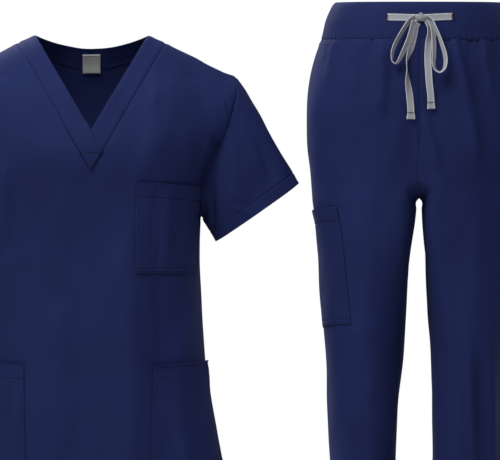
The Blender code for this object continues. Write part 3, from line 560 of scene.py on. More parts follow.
def add(tree, kind, links=None, **settings):
    """Adds a node. Settings are its properties. Links are its inputs, each a socket or a plain value."""
    node = tree.nodes.new(kind)
    for name, value in settings.items():
        setattr(node, name, value)
    for name, value in (links or {}).items():
        if isinstance(value, bpy.types.NodeSocket):
            tree.links.new(value, node.inputs[name])
        else:
            node.inputs[name].default_value = value
    return node


def twill(name, light, dark, line_mm=0.9, bump=0.25):
    """Piece-dyed stretch twill of polyester and viscose: matt, with fine slanting lines and a very soft nap.

    The real lines are 0.5 mm apart, too fine to show at this size, so they are drawn a little wider.
    """
    finish = bpy.data.materials.new(name)
    finish.use_nodes = True
    tree = finish.node_tree
    surface = tree.nodes["Principled BSDF"]
    cut = add(tree, "ShaderNodeUVMap", uv_map="cloth")
    metres = add(tree, "ShaderNodeMapping", {"Vector": cut.outputs["UV"], "Scale": (1000.0, 1000.0, 1.0)})
    place = add(tree, "ShaderNodeTexCoord")
    slant = add(
        tree,
        "ShaderNodeTexWave",
        {
            "Vector": metres.outputs["Vector"],
            "Scale": 0.314 / line_mm,
            "Distortion": 0.6,
            "Detail": 1.0,
            "Detail Scale": 0.4,
        },
        wave_type="BANDS",
        bands_direction="DIAGONAL",
    )
    slub = add(
        tree,
        "ShaderNodeTexNoise",
        {"Vector": metres.outputs["Vector"], "Scale": 0.45, "Detail": 3.0, "Roughness": 0.6},
    )
    dye = add(
        tree,
        "ShaderNodeTexNoise",
        {"Vector": place.outputs["Object"], "Scale": 9.0, "Detail": 2.0, "Roughness": 0.5},
    )
    grain = add(
        tree,
        "ShaderNodeMath",
        {0: slant.outputs["Fac"], 1: slub.outputs["Fac"]},
        operation="MULTIPLY",
    )
    shade = add(
        tree,
        "ShaderNodeMapRange",
        {"Value": dye.outputs["Fac"], "From Min": 0.3, "From Max": 0.7, "To Min": 0.0, "To Max": 0.55},
    )
    speckle = add(
        tree,
        "ShaderNodeMath",
        {0: grain.outputs["Value"], 1: 0.55, 2: shade.outputs["Result"]},
        operation="MULTIPLY_ADD",
    )
    colour = add(
        tree,
        "ShaderNodeMix",
        {"Factor": speckle.outputs["Value"], "A": linear(light), "B": linear(dark)},
        data_type="RGBA",
    )
    relief = add(
        tree,
        "ShaderNodeBump",
        {"Height": grain.outputs["Value"], "Strength": bump, "Distance": 0.0003},
    )
    worn = add(
        tree,
        "ShaderNodeMapRange",
        {"Value": slub.outputs["Fac"], "From Min": 0.3, "From Max": 0.7, "To Min": 0.72, "To Max": 0.86},
    )
    tree.links.new(colour.outputs["Result"], surface.inputs["Base Color"])
    tree.links.new(relief.outputs["Normal"], surface.inputs["Normal"])
    tree.links.new(worn.outputs["Result"], surface.inputs["Roughness"])
    surface.inputs["Specular IOR Level"].default_value = 0.16
    surface.inputs["Sheen Weight"].default_value = 0.05
    surface.inputs["Sheen Roughness"].default_value = 0.5
    surface.inputs["Sheen Tint"].default_value = linear("#8f9bd0")
    return finish


def thread(name, colour, roughness=0.55):
    """Spun polyester sewing thread: two twisted plies, a touch glossier than the cloth."""
    finish = bpy.data.materials.new(name)
    finish.use_nodes = True
    tree = finish.node_tree
    surface = tree.nodes["Principled BSDF"]
    place = add(tree, "ShaderNodeTexCoord")
    ply = add(
        tree,
        "ShaderNodeTexNoise",
        {"Vector": place.outputs["Object"], "Scale": 900.0, "Detail": 1.0},
    )
    tone = add(
        tree,
        "ShaderNodeMix",
        {"Factor": ply.outputs["Fac"], "A": linear(colour), "B": linear("#10142e")},
        data_type="RGBA",
    )
    relief = add(
        tree,
        "ShaderNodeBump",
        {"Height": ply.outputs["Fac"], "Strength": 0.4, "Distance": 0.0002},
    )
    tree.links.new(tone.outputs["Result"], surface.inputs["Base Color"])
    tree.links.new(relief.outputs["Normal"], surface.inputs["Normal"])
    surface.inputs["Roughness"].default_value = roughness
    return finish


def woven_tape(name, rib, edge, hollow_shade, rib_mm):
    """Flat woven cotton tape: lengthwise ribs of soft spun yarn, with painted shade in the hollows between
    them, and a fuller selvedge whose paler colour is a painted highlight where the edges catch the light.
    """
    finish = bpy.data.materials.new(name)
    finish.use_nodes = True
    tree = finish.node_tree
    surface = tree.nodes["Principled BSDF"]
    cut = add(tree, "ShaderNodeUVMap", uv_map="cloth")
    metres = add(tree, "ShaderNodeMapping", {"Vector": cut.outputs["UV"], "Scale": (1000.0, 1000.0, 1.0)})
    ribs = add(
        tree,
        "ShaderNodeTexWave",
        {"Vector": metres.outputs["Vector"], "Scale": 0.314 / rib_mm, "Distortion": 0.3, "Detail": 1.0},
        wave_type="BANDS",
        bands_direction="X",
    )
    picks = add(
        tree,
        "ShaderNodeTexWave",
        {"Vector": metres.outputs["Vector"], "Scale": 0.314 / 0.7, "Distortion": 1.2, "Detail": 1.0},
        wave_type="BANDS",
        bands_direction="Y",
    )
    yarn = add(
        tree,
        "ShaderNodeMath",
        {0: picks.outputs["Fac"], 1: 0.35, 2: ribs.outputs["Fac"]},
        operation="MULTIPLY_ADD",
    )
    split = add(tree, "ShaderNodeSeparateXYZ", {"Vector": metres.outputs["Vector"]})
    away = add(tree, "ShaderNodeMath", {0: split.outputs["X"]}, operation="ABSOLUTE")
    # Painted highlight: the strips along both edges are made paler, where the tape's edges catch the light.
    rim = add(
        tree,
        "ShaderNodeMapRange",
        {"Value": away.outputs["Value"], "From Min": 3.4, "From Max": 4.4},
    )
    # Painted shade: the hollows between the ribs take the darker hollow colour.
    body = add(
        tree,
        "ShaderNodeMix",
        {"Factor": yarn.outputs["Value"], "A": linear(hollow_shade), "B": linear(rib)},
        data_type="RGBA",
    )
    tone = add(
        tree,
        "ShaderNodeMix",
        {"Factor": rim.outputs["Result"], "A": body.outputs["Result"], "B": linear(edge)},
        data_type="RGBA",
    )
    relief = add(
        tree,
        "ShaderNodeBump",
        {"Height": yarn.outputs["Value"], "Strength": 0.6, "Distance": 0.0004},
    )
    tree.links.new(tone.outputs["Result"], surface.inputs["Base Color"])
    tree.links.new(relief.outputs["Normal"], surface.inputs["Normal"])
    surface.inputs["Roughness"].default_value = 0.8
    surface.inputs["Sheen Weight"].default_value = 0.2
    return finish


# Meshes
def unit(vectors):
    return vectors / np.maximum(np.linalg.norm(vectors, axis=-1, keepdims=True), 1e-12)


def facing(points, ring=False):
    """Outward direction at each point of a grid whose rows rise and whose columns run left to right."""
    up = np.gradient(points, axis=0)
    if ring:
        across = np.roll(points, -1, axis=1) - np.roll(points, 1, axis=1)
    else:
        across = np.gradient(points, axis=1)
    return unit(np.cross(across, up))


def levelled(vectors, axis):
    """The directions with one axis taken out, for an edge that lies on a seam's plane."""
    kept = np.array(vectors)
    kept[..., axis] = 0.0
    return unit(kept)


def run_along(grid, axis):
    """Distance from the first point, along a grid's lines or a single one."""
    steps = np.linalg.norm(np.diff(grid, axis=axis), axis=-1)
    start = np.zeros_like(np.take(steps, [0], axis=axis))
    return np.concatenate([start, np.cumsum(steps, axis=axis)], axis=axis)


def nearest(places, distance):
    """Which of some places lies nearest to a distance."""
    return int(np.argmin(np.abs(places - distance)))


def places_along(length, cell, marks=(), ends=(True, True)):
    """Shares from 0 to 1 along a line, a cell apart, with closer ones at its ends and around marks."""
    close = np.array([-2.4, -1.1, -0.5, 0.0, 0.5, 1.1, 2.4]) * 0.001
    shares = [np.linspace(0.0, 1.0, max(2, int(round(length / cell)) + 1))]
    for mark in marks:
        shares.append((mark + close) / length)
    near = np.array([0.0007, 0.0016, 0.0030])
    if ends[0]:
        shares.append(near / length)
    if ends[1]:
        shares.append(1 - near / length)
    joined = np.unique(np.round(np.concatenate(shares), 6))
    joined = joined[(joined >= 0.0) & (joined <= 1.0)]
    keep = np.concatenate([[True], np.diff(joined) * length > LEAST_CELL])
    keep[-1] = True
    if not np.diff(joined)[-1] * length > LEAST_CELL:
        keep[-2] = False
    return joined[keep]


RANDOM = np.random.default_rng(11)
WAVES = [
    (
        unit(RANDOM.normal(size=3) * np.array([1.0, 0.8, 0.55])) * 2 * np.pi / length,
        RANDOM.uniform(0, 2 * np.pi),
        height,
    )
    for length, height in (
        (0.210, 0.0011), (0.170, 0.0010), (0.130, 0.0007), (0.105, 0.0006), (0.085, 0.0005),
        (0.070, 0.0004), (0.056, 0.0003), (0.047, 0.00025), (0.038, 0.0002), (0.031, 0.00015),
    )
]


def unevenness(points):
    """The soft swell of hung cloth, the same on both sides of a seam."""
    total = np.zeros(points.shape[:-1])
    for direction, start, height in WAVES:
        total = total + height * np.sin(points @ direction + start)
    neck = np.hypot(np.abs(points[..., 0]) - NECK_HALF_WIDTH, points[..., 2])
    return total * (0.15 + 0.85 * fade(neck, 0.02, 0.10))


def dressed(grid, normals, lift):
    """A grid moved along its directions by the cloth's unevenness and a lift of its own."""
    return grid + normals * (unevenness(grid) + lift)[..., None]


def seam_relief(grid, seams):
    """Dip at sewn edges with a little puff beside it. Seams names a grid's sewn edges."""
    relief = np.zeros(grid.shape[:2])
    across, up = run_along(grid, 1), run_along(grid, 0)
    away = {
        "left": across,
        "right": across[:, -1:] - across,
        "bottom": up,
        "top": up[-1:] - up,
    }
    for seam in seams:
        relief -= SEAM_DIP * np.exp(-((away[seam] / SEAM_SOFT) ** 2))
        relief += SEAM_PUFF * np.exp(-(((away[seam] - 0.006) / 0.0035) ** 2))
    return relief


def groove(distance):
    """Depth of a row of stitches drawn into the cloth, by the distance from it."""
    puff, dip = np.exp(-((distance / 0.004) ** 2)), np.exp(-((distance / GROOVE_WIDTH) ** 2))
    return GROOVE * (0.45 * puff - 1.45 * dip)


def cloth_piece(name, points, faces, flat, finish, nodes=()):
    """A mesh that rides with the object, with its cut pattern's metres as texture places."""
    mesh = bpy.data.meshes.new(name)
    mesh.from_pydata(np.asarray(points).tolist(), [], faces)
    layer = mesh.uv_layers.new(name="cloth")
    corners = np.zeros(len(mesh.loops), int)
    mesh.loops.foreach_get("vertex_index", corners)
    layer.data.foreach_set("uv", np.asarray(flat, float)[corners].ravel())
    mesh.shade_smooth()
    mesh.materials.append(finish)
    made = bpy.data.objects.new(name, mesh)
    bpy.context.scene.collection.objects.link(made)
    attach(made, "root")
    if nodes:
        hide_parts(*nodes)
    return made


def shell(name, grids, finish, nodes=(), thickness=SHELL, ring=False):
    """A closed thin shell of cloth from outer grids with their directions."""
    places, points, directions, flat, quads = {}, [], [], [], []
    for grid, outward in grids:
        rows, columns = grid.shape[:2]
        across, up = run_along(grid, 1), run_along(grid, 0)
        if outward_centre(grid):
            across = across - across[:, -1:]
        index = np.zeros((rows, columns), int)
        for row in range(rows):
            for column in range(columns):
                key = tuple(np.round(grid[row, column], 7))
                if key not in places:
                    places[key] = len(points)
                    points.append(grid[row, column])
                    directions.append(np.zeros(3))
                    flat.append((across[row, column], up[row, column]))
                index[row, column] = places[key]
                directions[places[key]] = directions[places[key]] + outward[row, column]
        last = columns if ring else columns - 1
        for row in range(rows - 1):
            for column in range(last):
                after = (column + 1) % columns
                corners = [index[row, column], index[row, after]]
                corners += [index[row + 1, after], index[row + 1, column]]
                corners = [int(i) for i in dict.fromkeys(corners)]
                if len(corners) > 2:
                    quads.append(corners)
    outer = np.array(points)
    inner = outer - unit(np.array(directions)) * thickness
    count = len(outer)
    faces = list(quads)
    edges = set()
    for quad in quads:
        faces.append([i + count for i in reversed(quad)])
        edges.update(zip(quad, quad[1:] + quad[:1]))
    for a, b in sorted(edges):
        if (b, a) not in edges:
            faces.append([b, a, a + count, b + count])
    return cloth_piece(name, np.concatenate([outer, inner]), faces, flat + flat, finish, nodes)


def outward_centre(grid):
    """Whether a half panel's centre line is its right-hand edge, so that its cut is measured from there."""
    return abs(grid[0, -1, 0]) < abs(grid[0, 0, 0])


def along_path(path, step, start=0.0):
    """Points, directions and places at equal steps along a line of points."""
    path = np.asarray(path)
    run = run_along(path, 0)
    at = np.arange(start, run[-1], step)
    points = np.stack([np.interp(at, run, path[:, i]) for i in range(3)], axis=-1)
    ahead = np.stack([np.interp(at + 0.0004, run, path[:, i]) for i in range(3)], axis=-1)
    behind = np.stack([np.interp(at - 0.0004, run, path[:, i]) for i in range(3)], axis=-1)
    return points, unit(ahead - behind), at / run[-1]


def stitch_set(lines, length=STITCH, step=STITCH_STEP, width=THREAD):
    """Centres, directions and outward directions of the stitches on lines of points and directions."""
    centres, directions, outwards = [], [], []
    for path, outward in lines:
        if len(path) < 2:
            continue
        points, along, share = along_path(path, step, step / 2)
        if not len(points):
            continue
        whole = np.linspace(0, 1, len(outward))
        out = np.stack([np.interp(share, whole, np.asarray(outward)[:, i]) for i in range(3)], axis=-1)
        centres.append(points)
        directions.append(along)
        outwards.append(unit(out))
    return np.concatenate(centres), np.concatenate(directions), np.concatenate(outwards), length, width


def sewing(name, sets, finish):
    """A garment's stitches as one piece: short plump threads that dive into the cloth at their ends."""
    spin = np.linspace(0, 2 * np.pi, 5, endpoint=False)
    reach = np.array([-0.5, -0.32, 0.32, 0.5])
    height = np.array([-0.6, 0.28, 0.28, -0.6])
    girth = np.array([0.35, 0.5, 0.5, 0.35])
    points, faces, flat = [], [], []
    count = 0
    for centre, along, outward, length, width in sets:
        side = unit(np.cross(outward, along))
        rings = []
        for r, h, g in zip(reach, height, girth):
            middle = centre + along * (r * length) + outward * (h * width)
            for a in spin:
                rings.append(middle + (side * np.cos(a) + outward * np.sin(a)) * (g * width))
        block = np.stack(rings, axis=1)
        points.append(block.reshape(-1, 3))
        many = len(centre)
        for i in range(many):
            base = count + i * 20
            for ring in range(3):
                for a in range(5):
                    b = (a + 1) % 5
                    low = base + ring * 5
                    faces.append([low + a, low + b, low + 5 + b, low + 5 + a])
            faces.append([base + a for a in range(4, -1, -1)])
            faces.append([base + 15 + a for a in range(5)])
        flat.append(np.tile([[0.0, 0.0]], (many * 20, 1)))
        count += many * 20
    return cloth_piece(name, np.concatenate(points), faces, np.concatenate(flat), finish)

# The neckline and armhole
def front_seam(row):
    """Place of the V's seam at a row of the yoke, from its tip to the shoulder."""
    share = 1 - (1 - row) ** SEAM_CROWDING
    x = SEAM_AT_SHOULDER * share
    return x, V_SEAM_TIP + (shoulder_height(SEAM_AT_SHOULDER) - V_SEAM_TIP) * share


def front_edge(row):
    """Place of the V's open edge at a row of the yoke, from the end of its lap to the shoulder."""
    share = 1 - (1 - row) ** SEAM_CROWDING
    x = LAP_END[0] + (EDGE_AT_SHOULDER - LAP_END[0]) * share
    return x, LAP_END[1] + (shoulder_height(EDGE_AT_SHOULDER) - LAP_END[1]) * share


def back_curve(row, reach, drop):
    """Place on a back neckline, from the centre back to the shoulder."""
    return reach * row, drop + (shoulder_height(reach) - drop) * row * row


NECK_ROW = {"front": 3, "back": 7}


def neck_share(part, row):
    return (row - NECK_ROW[part]) / (YOKE_ROWS - NECK_ROW[part])


def inner_place(part, row):
    """Where a yoke row starts: on the centre line up to the neck seam, then on that seam."""
    tip = V_SEAM_TIP if part == "front" else BACK_SEAM_DROP
    if row <= NECK_ROW[part]:
        return 0.0, UNDERARM + (tip - UNDERARM) * row / NECK_ROW[part]
    if part == "front":
        return front_seam(neck_share(part, row))
    return back_curve(neck_share(part, row), SEAM_AT_SHOULDER, BACK_SEAM_DROP)


def along_shoulder(start, end, share, row_share):
    """Places across a row that turns from level at the underarm to the shoulder's line at the top."""
    x = start[0] + (end[0] - start[0]) * share
    straight = start[1] + (end[1] - start[1]) * share
    start_drop = shoulder_height(start[0]) - start[1]
    end_drop = shoulder_height(end[0]) - end[1]
    followed = shoulder_height(x) - start_drop - (end_drop - start_drop) * share
    return x, straight + (followed - straight) * row_share


def armhole_place(row):
    z = ARM_MIDDLE - ARM_REACH * np.cos(np.pi * row / YOKE_ROWS)
    return through(ARMHOLE, "out", z), z



# Creases of the visible cloth, on top of the main folds
FRONT_CREASES = [
    Fold(0.0960, -0.0560, 0.0930, -0.1080, 0.0014, 0.007),
    Fold(0.1180, -0.0800, 0.1120, -0.1700, 0.0009, 0.010),
    Fold(-0.1000, -0.0640, -0.0960, -0.1300, 0.0012, 0.009),
    Fold(0.1950, -0.0980, 0.2030, -0.1320, 0.0016, 0.0035),
    Fold(0.2030, -0.0860, 0.2090, -0.1120, 0.0012, 0.0030),
    Fold(0.1710, -0.1640, 0.1860, -0.1760, 0.0018, 0.0050),
    Fold(0.1930, -0.1500, 0.1720, -0.2150, -0.0085, 0.0090),
    Fold(0.1720, -0.2100, 0.1670, -0.2800, -0.0085, 0.0090),
    Fold(-0.1900, -0.1600, -0.1640, -0.2300, -0.0040, 0.0080),
    Fold(-0.1680, -0.2050, -0.1640, -0.2800, -0.0040, 0.0090),
    Fold(-0.1300, -0.1800, 0.1300, -0.1800, 0.0105, 0.0450),
    Fold(-0.1500, -0.3100, 0.1500, -0.3150, -0.0040, 0.0600),
    Fold(-0.1980, -0.1000, -0.2050, -0.1350, 0.0014, 0.0040),
    Fold(-0.1250, -0.1950, -0.1420, -0.3200, 0.0040, 0.0045),
    Fold(-0.1130, -0.2100, -0.1280, -0.3300, -0.0050, 0.0090),
    Fold(0.1300, -0.1350, 0.1500, -0.2000, 0.0014, 0.010),
    Fold(0.0560, -0.2900, 0.0620, -0.6900, 0.0095, 0.0280),
    Fold(-0.0180, -0.3000, -0.0200, -0.6900, -0.0030, 0.0260),
    Fold(-0.0400, -0.2400, -0.0480, -0.3800, 0.0014, 0.016),
    Fold(0.0860, -0.3700, 0.0900, -0.4800, 0.0030, 0.010),
    Fold(-0.1080, -0.3700, -0.1150, -0.4800, 0.0016, 0.012),
    Fold(0.1250, -0.5600, 0.1500, -0.6600, 0.0018, 0.012),
]

BACK_CREASES = [
    Fold(0.1500, -0.1700, 0.1600, -0.2700, -0.0040, 0.0090),
    Fold(-0.1500, -0.1700, -0.1600, -0.2700, -0.0040, 0.0090),
    Fold(0.0700, -0.0900, 0.0450, -0.2400, 0.0034, 0.0150),
    Fold(-0.0750, -0.1000, -0.0480, -0.2600, 0.0034, 0.0150),
    Fold(0.1000, -0.1400, 0.0850, -0.3000, -0.0030, 0.0130),
    Fold(-0.1050, -0.1500, -0.0880, -0.3100, -0.0030, 0.0130),
    Fold(0.1950, -0.1000, 0.2030, -0.1400, 0.0024, 0.0045),
    Fold(-0.1950, -0.1000, -0.2030, -0.1400, 0.0024, 0.0045),
    Fold(-0.1000, -0.3600, 0.0300, -0.3900, 0.0030, 0.0140),
    Fold(0.1200, -0.3500, -0.0100, -0.4200, 0.0030, 0.0140),
    Fold(0.0950, -0.4200, 0.1200, -0.6900, 0.0060, 0.0180),
    Fold(-0.1020, -0.4200, -0.1250, -0.6900, 0.0060, 0.0180),
    Fold(0.0400, -0.4400, 0.0480, -0.6900, 0.0044, 0.0160),
    Fold(-0.0260, -0.4600, -0.0320, -0.6900, -0.0050, 0.0180),
    Fold(-0.0620, -0.4800, -0.0740, -0.6900, 0.0036, 0.0130),
]

SLEEVE_FRONT_CREASES = [
    Fold(0.2560, -0.1400, 0.2900, -0.2050, 0.0020, 0.0060),
    Fold(0.2480, -0.1550, 0.2720, -0.2200, -0.0016, 0.0060),
    Fold(0.2140, -0.2560, 0.2380, -0.2680, 0.0018, 0.0040),
    Fold(0.2080, -0.2300, 0.2340, -0.2480, 0.0014, 0.0050),
    Fold(0.1760, -0.1850, 0.1780, -0.2900, -0.0120, 0.0080),
    Fold(0.2200, -0.1000, 0.2320, -0.1500, 0.0014, 0.0060),
    Fold(0.2060, -0.1500, 0.2200, -0.2100, 0.0012, 0.0070),
]

SLEEVE_BACK_CREASES = [
    Fold(0.2500, -0.1400, 0.2800, -0.2100, 0.0018, 0.0080),
    Fold(0.1850, -0.2100, 0.1980, -0.2700, -0.0035, 0.0080),
    Fold(0.2150, -0.1300, 0.2250, -0.2100, 0.0014, 0.0080),
    Fold(0.2100, -0.2300, 0.2350, -0.2500, 0.0014, 0.0050),
]

TROUSER_FRONT_CREASES = [
    Fold(-0.0540, -0.0080, -0.0600, -0.1180, 0.0034, 0.0100),
    Fold(-0.0960, -0.0080, -0.0990, -0.0900, 0.0022, 0.0070),
    Fold(-0.1300, -0.0080, -0.1380, -0.0700, 0.0016, 0.0060),
    Fold(0.0540, -0.0100, 0.0780, -0.1180, 0.0034, 0.0080),
    Fold(0.0780, -0.1180, 0.0870, -0.1860, 0.0030, 0.0080),
    Fold(0.0960, -0.0080, 0.1080, -0.0900, 0.0026, 0.0070),
    Fold(0.1200, -0.0080, 0.1280, -0.0800, 0.0018, 0.0060),
    Fold(0.0045, -0.1150, 0.0285, -0.1950, 0.0028, 0.0080),
    Fold(-0.0280, -0.0700, -0.0330, -0.1700, 0.0016, 0.0120),
    Fold(0.0000, -0.1000, 0.0000, -0.2300, -0.0050, 0.0280),
    Fold(-0.1120, -0.1000, -0.1300, -0.2100, 0.0016, 0.0140),
    Fold(0.1200, -0.1000, 0.1380, -0.2200, 0.0018, 0.0120),
    Fold(-0.0550, -0.4300, -0.1100, -0.4500, 0.0010, 0.0100),
    Fold(0.0740, -0.4650, 0.0800, -0.6500, 0.0034, 0.0070),
    Fold(0.1060, -0.4700, 0.1110, -0.6500, 0.0034, 0.0070),
    Fold(-0.1000, -0.5400, -0.1080, -0.7600, 0.0018, 0.0090),
    Fold(-0.0600, -0.7600, -0.0560, -0.9900, 0.0018, 0.0090),
    Fold(0.0900, -0.7400, 0.0880, -0.9900, 0.0018, 0.0090),
]

TROUSER_BACK_CREASES = [
    Fold(-0.0200, -0.2000, -0.0700, -0.2500, -0.0034, 0.0080),
    Fold(0.0200, -0.2000, 0.0700, -0.2500, -0.0034, 0.0080),
    Fold(-0.0300, -0.2200, -0.1100, -0.2750, 0.0034, 0.0090),
    Fold(0.0300, -0.2200, 0.1100, -0.2750, 0.0034, 0.0090),
    Fold(-0.0500, -0.2750, -0.1000, -0.3100, -0.0024, 0.0090),
    Fold(0.0500, -0.2750, 0.1000, -0.3100, -0.0024, 0.0090),
    Fold(-0.0600, -0.0080, -0.0680, -0.1100, 0.0028, 0.0090),
    Fold(0.0640, -0.0080, 0.0720, -0.1200, 0.0028, 0.0090),
    Fold(-0.0960, -0.0080, -0.1050, -0.0900, 0.0022, 0.0070),
    Fold(0.1000, -0.0080, 0.1100, -0.0900, 0.0022, 0.0070),
    Fold(-0.0500, -0.5200, -0.1100, -0.5450, 0.0028, 0.0090),
    Fold(0.0500, -0.5200, 0.1100, -0.5500, 0.0028, 0.0090),
    Fold(-0.0500, -0.5550, -0.1150, -0.5850, -0.0026, 0.0090),
    Fold(0.0500, -0.5550, 0.1150, -0.5900, -0.0026, 0.0090),
    Fold(-0.0860, -0.6200, -0.0840, -0.9400, 0.0030, 0.0120),
    Fold(0.0860, -0.6200, 0.0840, -0.9400, 0.0030, 0.0120),
    Fold(-0.0960, -0.2900, -0.0980, -0.5000, 0.0028, 0.0140),
    Fold(0.0960, -0.2900, 0.0980, -0.5000, 0.0028, 0.0140),
]

WAIST_GATHERS = [
    Fold(x, WAIST_SEAM + 0.004, x * 1.04, WAIST_SEAM - deep, lift, wide)
    for x, deep, lift, wide in (
        (-0.156, 0.018, 0.0009, 0.0026), (-0.138, 0.030, 0.0012, 0.0032), (-0.124, 0.016, 0.0009, 0.0024),
        (-0.113, 0.020, -0.0008, 0.0030), (-0.097, 0.032, 0.0013, 0.0030), (-0.084, 0.016, 0.0009, 0.0024),
        (-0.071, 0.024, -0.0008, 0.0030), (-0.055, 0.034, 0.0013, 0.0032), (-0.043, 0.018, 0.0009, 0.0024),
        (-0.030, 0.014, 0.0008, 0.0022), (-0.016, 0.020, 0.0010, 0.0026), (-0.004, 0.012, -0.0007, 0.0024),
        (0.008, 0.014, 0.0008, 0.0024), (0.019, 0.022, 0.0010, 0.0026), (0.031, 0.016, 0.0009, 0.0024),
        (0.041, 0.014, -0.0008, 0.0026), (0.053, 0.030, 0.0013, 0.0030), (0.068, 0.020, 0.0010, 0.0026),
        (0.081, 0.014, 0.0008, 0.0022), (0.096, 0.030, 0.0013, 0.0030), (0.108, 0.016, -0.0008, 0.0026),
        (0.120, 0.030, 0.0013, 0.0030), (0.133, 0.016, 0.0009, 0.0024), (0.149, 0.020, 0.0009, 0.0026),
    )
]

HEM_DEPTH = 0.020
SLEEVE_HEM_DEPTH = 0.018
LEG_HEM_DEPTH = 0.022
WAIST_LAP = 0.0018
ROW_CUTS = 7


# The top
def torso_half(part, side):
    """One half of the front or back, and its yoke's first row."""
    across = places_along(PANEL_HALF_WIDTH, CELL)
    curved = np.sin(across * np.pi / 2)
    length = UNDERARM - HEM
    heights = HEM + length * places_along(length, CELL, marks=(HEM_DEPTH,), ends=(False, False))
    rows = []
    for z in heights[:-1]:
        x = side * through(TORSO, "half_width", z) * curved
        rows.append(torso_point(part, x, np.full_like(x, z)))
    for row in np.linspace(0.0, YOKE_ROWS, YOKE_ROWS * ROW_CUTS + 1):
        row_share = row / YOKE_ROWS
        share = curved + (across - curved) * 0.7 * row_share
        x, z = along_shoulder(inner_place(part, row), armhole_place(row), share, row_share)
        points = torso_point(part, side * x, z)
        if row == YOKE_ROWS:
            points[:, 1] = 0.0
        rows.append(points)
    grid = np.array(rows)
    yoke = len(heights) - 1
    grid[: yoke + 1, -1, 1] = 0.0
    if (part == "front") != (side > 0):
        grid = grid[:, ::-1]
    return grid, yoke


def sleeve_half(part, side, armhole):
    """One sleeve's front or back. Rows rise from the cuff to the armhole."""
    around = np.linspace(0.0, np.pi, len(armhole))
    sign = -1.0 if part == "front" else 1.0
    cuff = np.stack([
        side * (CUFF_CENTRE[0] - CUFF_HALF[0] * np.cos(around) + CUFF_BOW * SLEEVE_AXIS[0] * np.sin(around)),
        sign * CUFF_DEPTH * np.sin(around),
        CUFF_CENTRE[1] - CUFF_HALF[1] * np.cos(around) + CUFF_BOW * SLEEVE_AXIS[1] * np.sin(around),
    ], axis=-1)
    length = np.linalg.norm(cuff - armhole, axis=-1)
    hem = 0.030
    low = hem * places_along(hem, 0.004, marks=(SLEEVE_HEM_DEPTH,), ends=(True, False))
    high = places_along(0.090, CELL, ends=(False, True))[1:]
    rows = []
    for distance in low:
        rows.append(1 - distance / length)
    for share in high:
        rows.append((1 - hem / length) * (1 - share))
    points = []
    for step in rows:
        line = armhole + (cuff - armhole) * step[:, None]
        line[:, 1] += sign * SLEEVE_FULLNESS * np.sin(around) * np.sin(np.pi * step) ** 2
        crown = SLEEVE_CROWN * np.sin(np.pi * step) * (1 - np.cos(around)) / 2
        line[:, 0] -= side * crown * SLEEVE_AXIS[1]
        line[:, 2] += crown * SLEEVE_AXIS[0]
        points.append(line)
    return np.array(points)


def make_top(navy, trim, seam_thread):
    """Front, back, both sleeves and the neckband, with the stitches of their seams."""
    halves, lines = {}, []
    for part in ("front", "back"):
        creases = FRONT_CREASES if part == "front" else BACK_CREASES
        sheets = []
        for side in (-1, 1):
            grid, yoke = torso_half(part, side)
            out = -1 if (part == "front") == (side > 0) else 0
            centre = -1 - out
            normals = facing(grid)
            normals[: yoke + 1, out] = levelled(normals[: yoke + 1, out], 1)
            normals[-1] = levelled(normals[-1], 1)
            neck = yoke + NECK_ROW[part] * ROW_CUTS
            normals[: neck + 1, centre] = levelled(normals[: neck + 1, centre], 0)
            armhole = grid[yoke:, out]
            sleeve = sleeve_half(part, side, armhole)
            turned = (part == "front") != (side > 0)
            if turned:
                sleeve = sleeve[:, ::-1]
            sleeve_normals = facing(sleeve)
            for edge in (0, -1):
                sleeve_normals[:, edge] = levelled(sleeve_normals[:, edge], 1)
            seam = sleeve_normals[-1, ::-1] if turned else sleeve_normals[-1]
            mitre = unit(normals[yoke:, out] + seam)
            mitre[0], mitre[-1] = levelled(mitre[0], 1), levelled(mitre[-1], 1)
            normals[yoke:, out] = mitre
            sleeve_normals[-1] = mitre[::-1] if turned else mitre
            lift = fold_lift(creases, grid[..., 0], grid[..., 2])
            relief = seam_relief(grid, ("right" if out == -1 else "left", "top"))
            neckline = seam_relief(grid, ("left" if out == -1 else "right",))
            neckline[: neck + 1] = 0.0
            hem = groove(run_along(grid, 0) - HEM_DEPTH)
            shaped = dressed(grid, normals, lift + relief + neckline + hem)
            sheets.append((shaped, normals))
            halves[part, side] = (sleeve, sleeve_normals)
            hem_row = nearest(run_along(grid, 0)[:, 0], HEM_DEPTH)
            lines.append((shaped[hem_row], normals[hem_row]))
            inset = 2 if centre == 0 else -3
            lines.append((shaped[neck + 2 :, inset], normals[neck + 2 :, inset]))
        name = "front_panel" if part == "front" else "back_panel"
        panel = shell(name, sheets, navy, ("top_" + part,))
    for side, name in ((-1, "sleeve_left"), (1, "sleeve_right")):
        make_sleeve(name, side, halves, navy, lines)
    make_neckband(trim, lines)
    sewing("top_seam_stitches", [stitch_set(lines)], seam_thread)


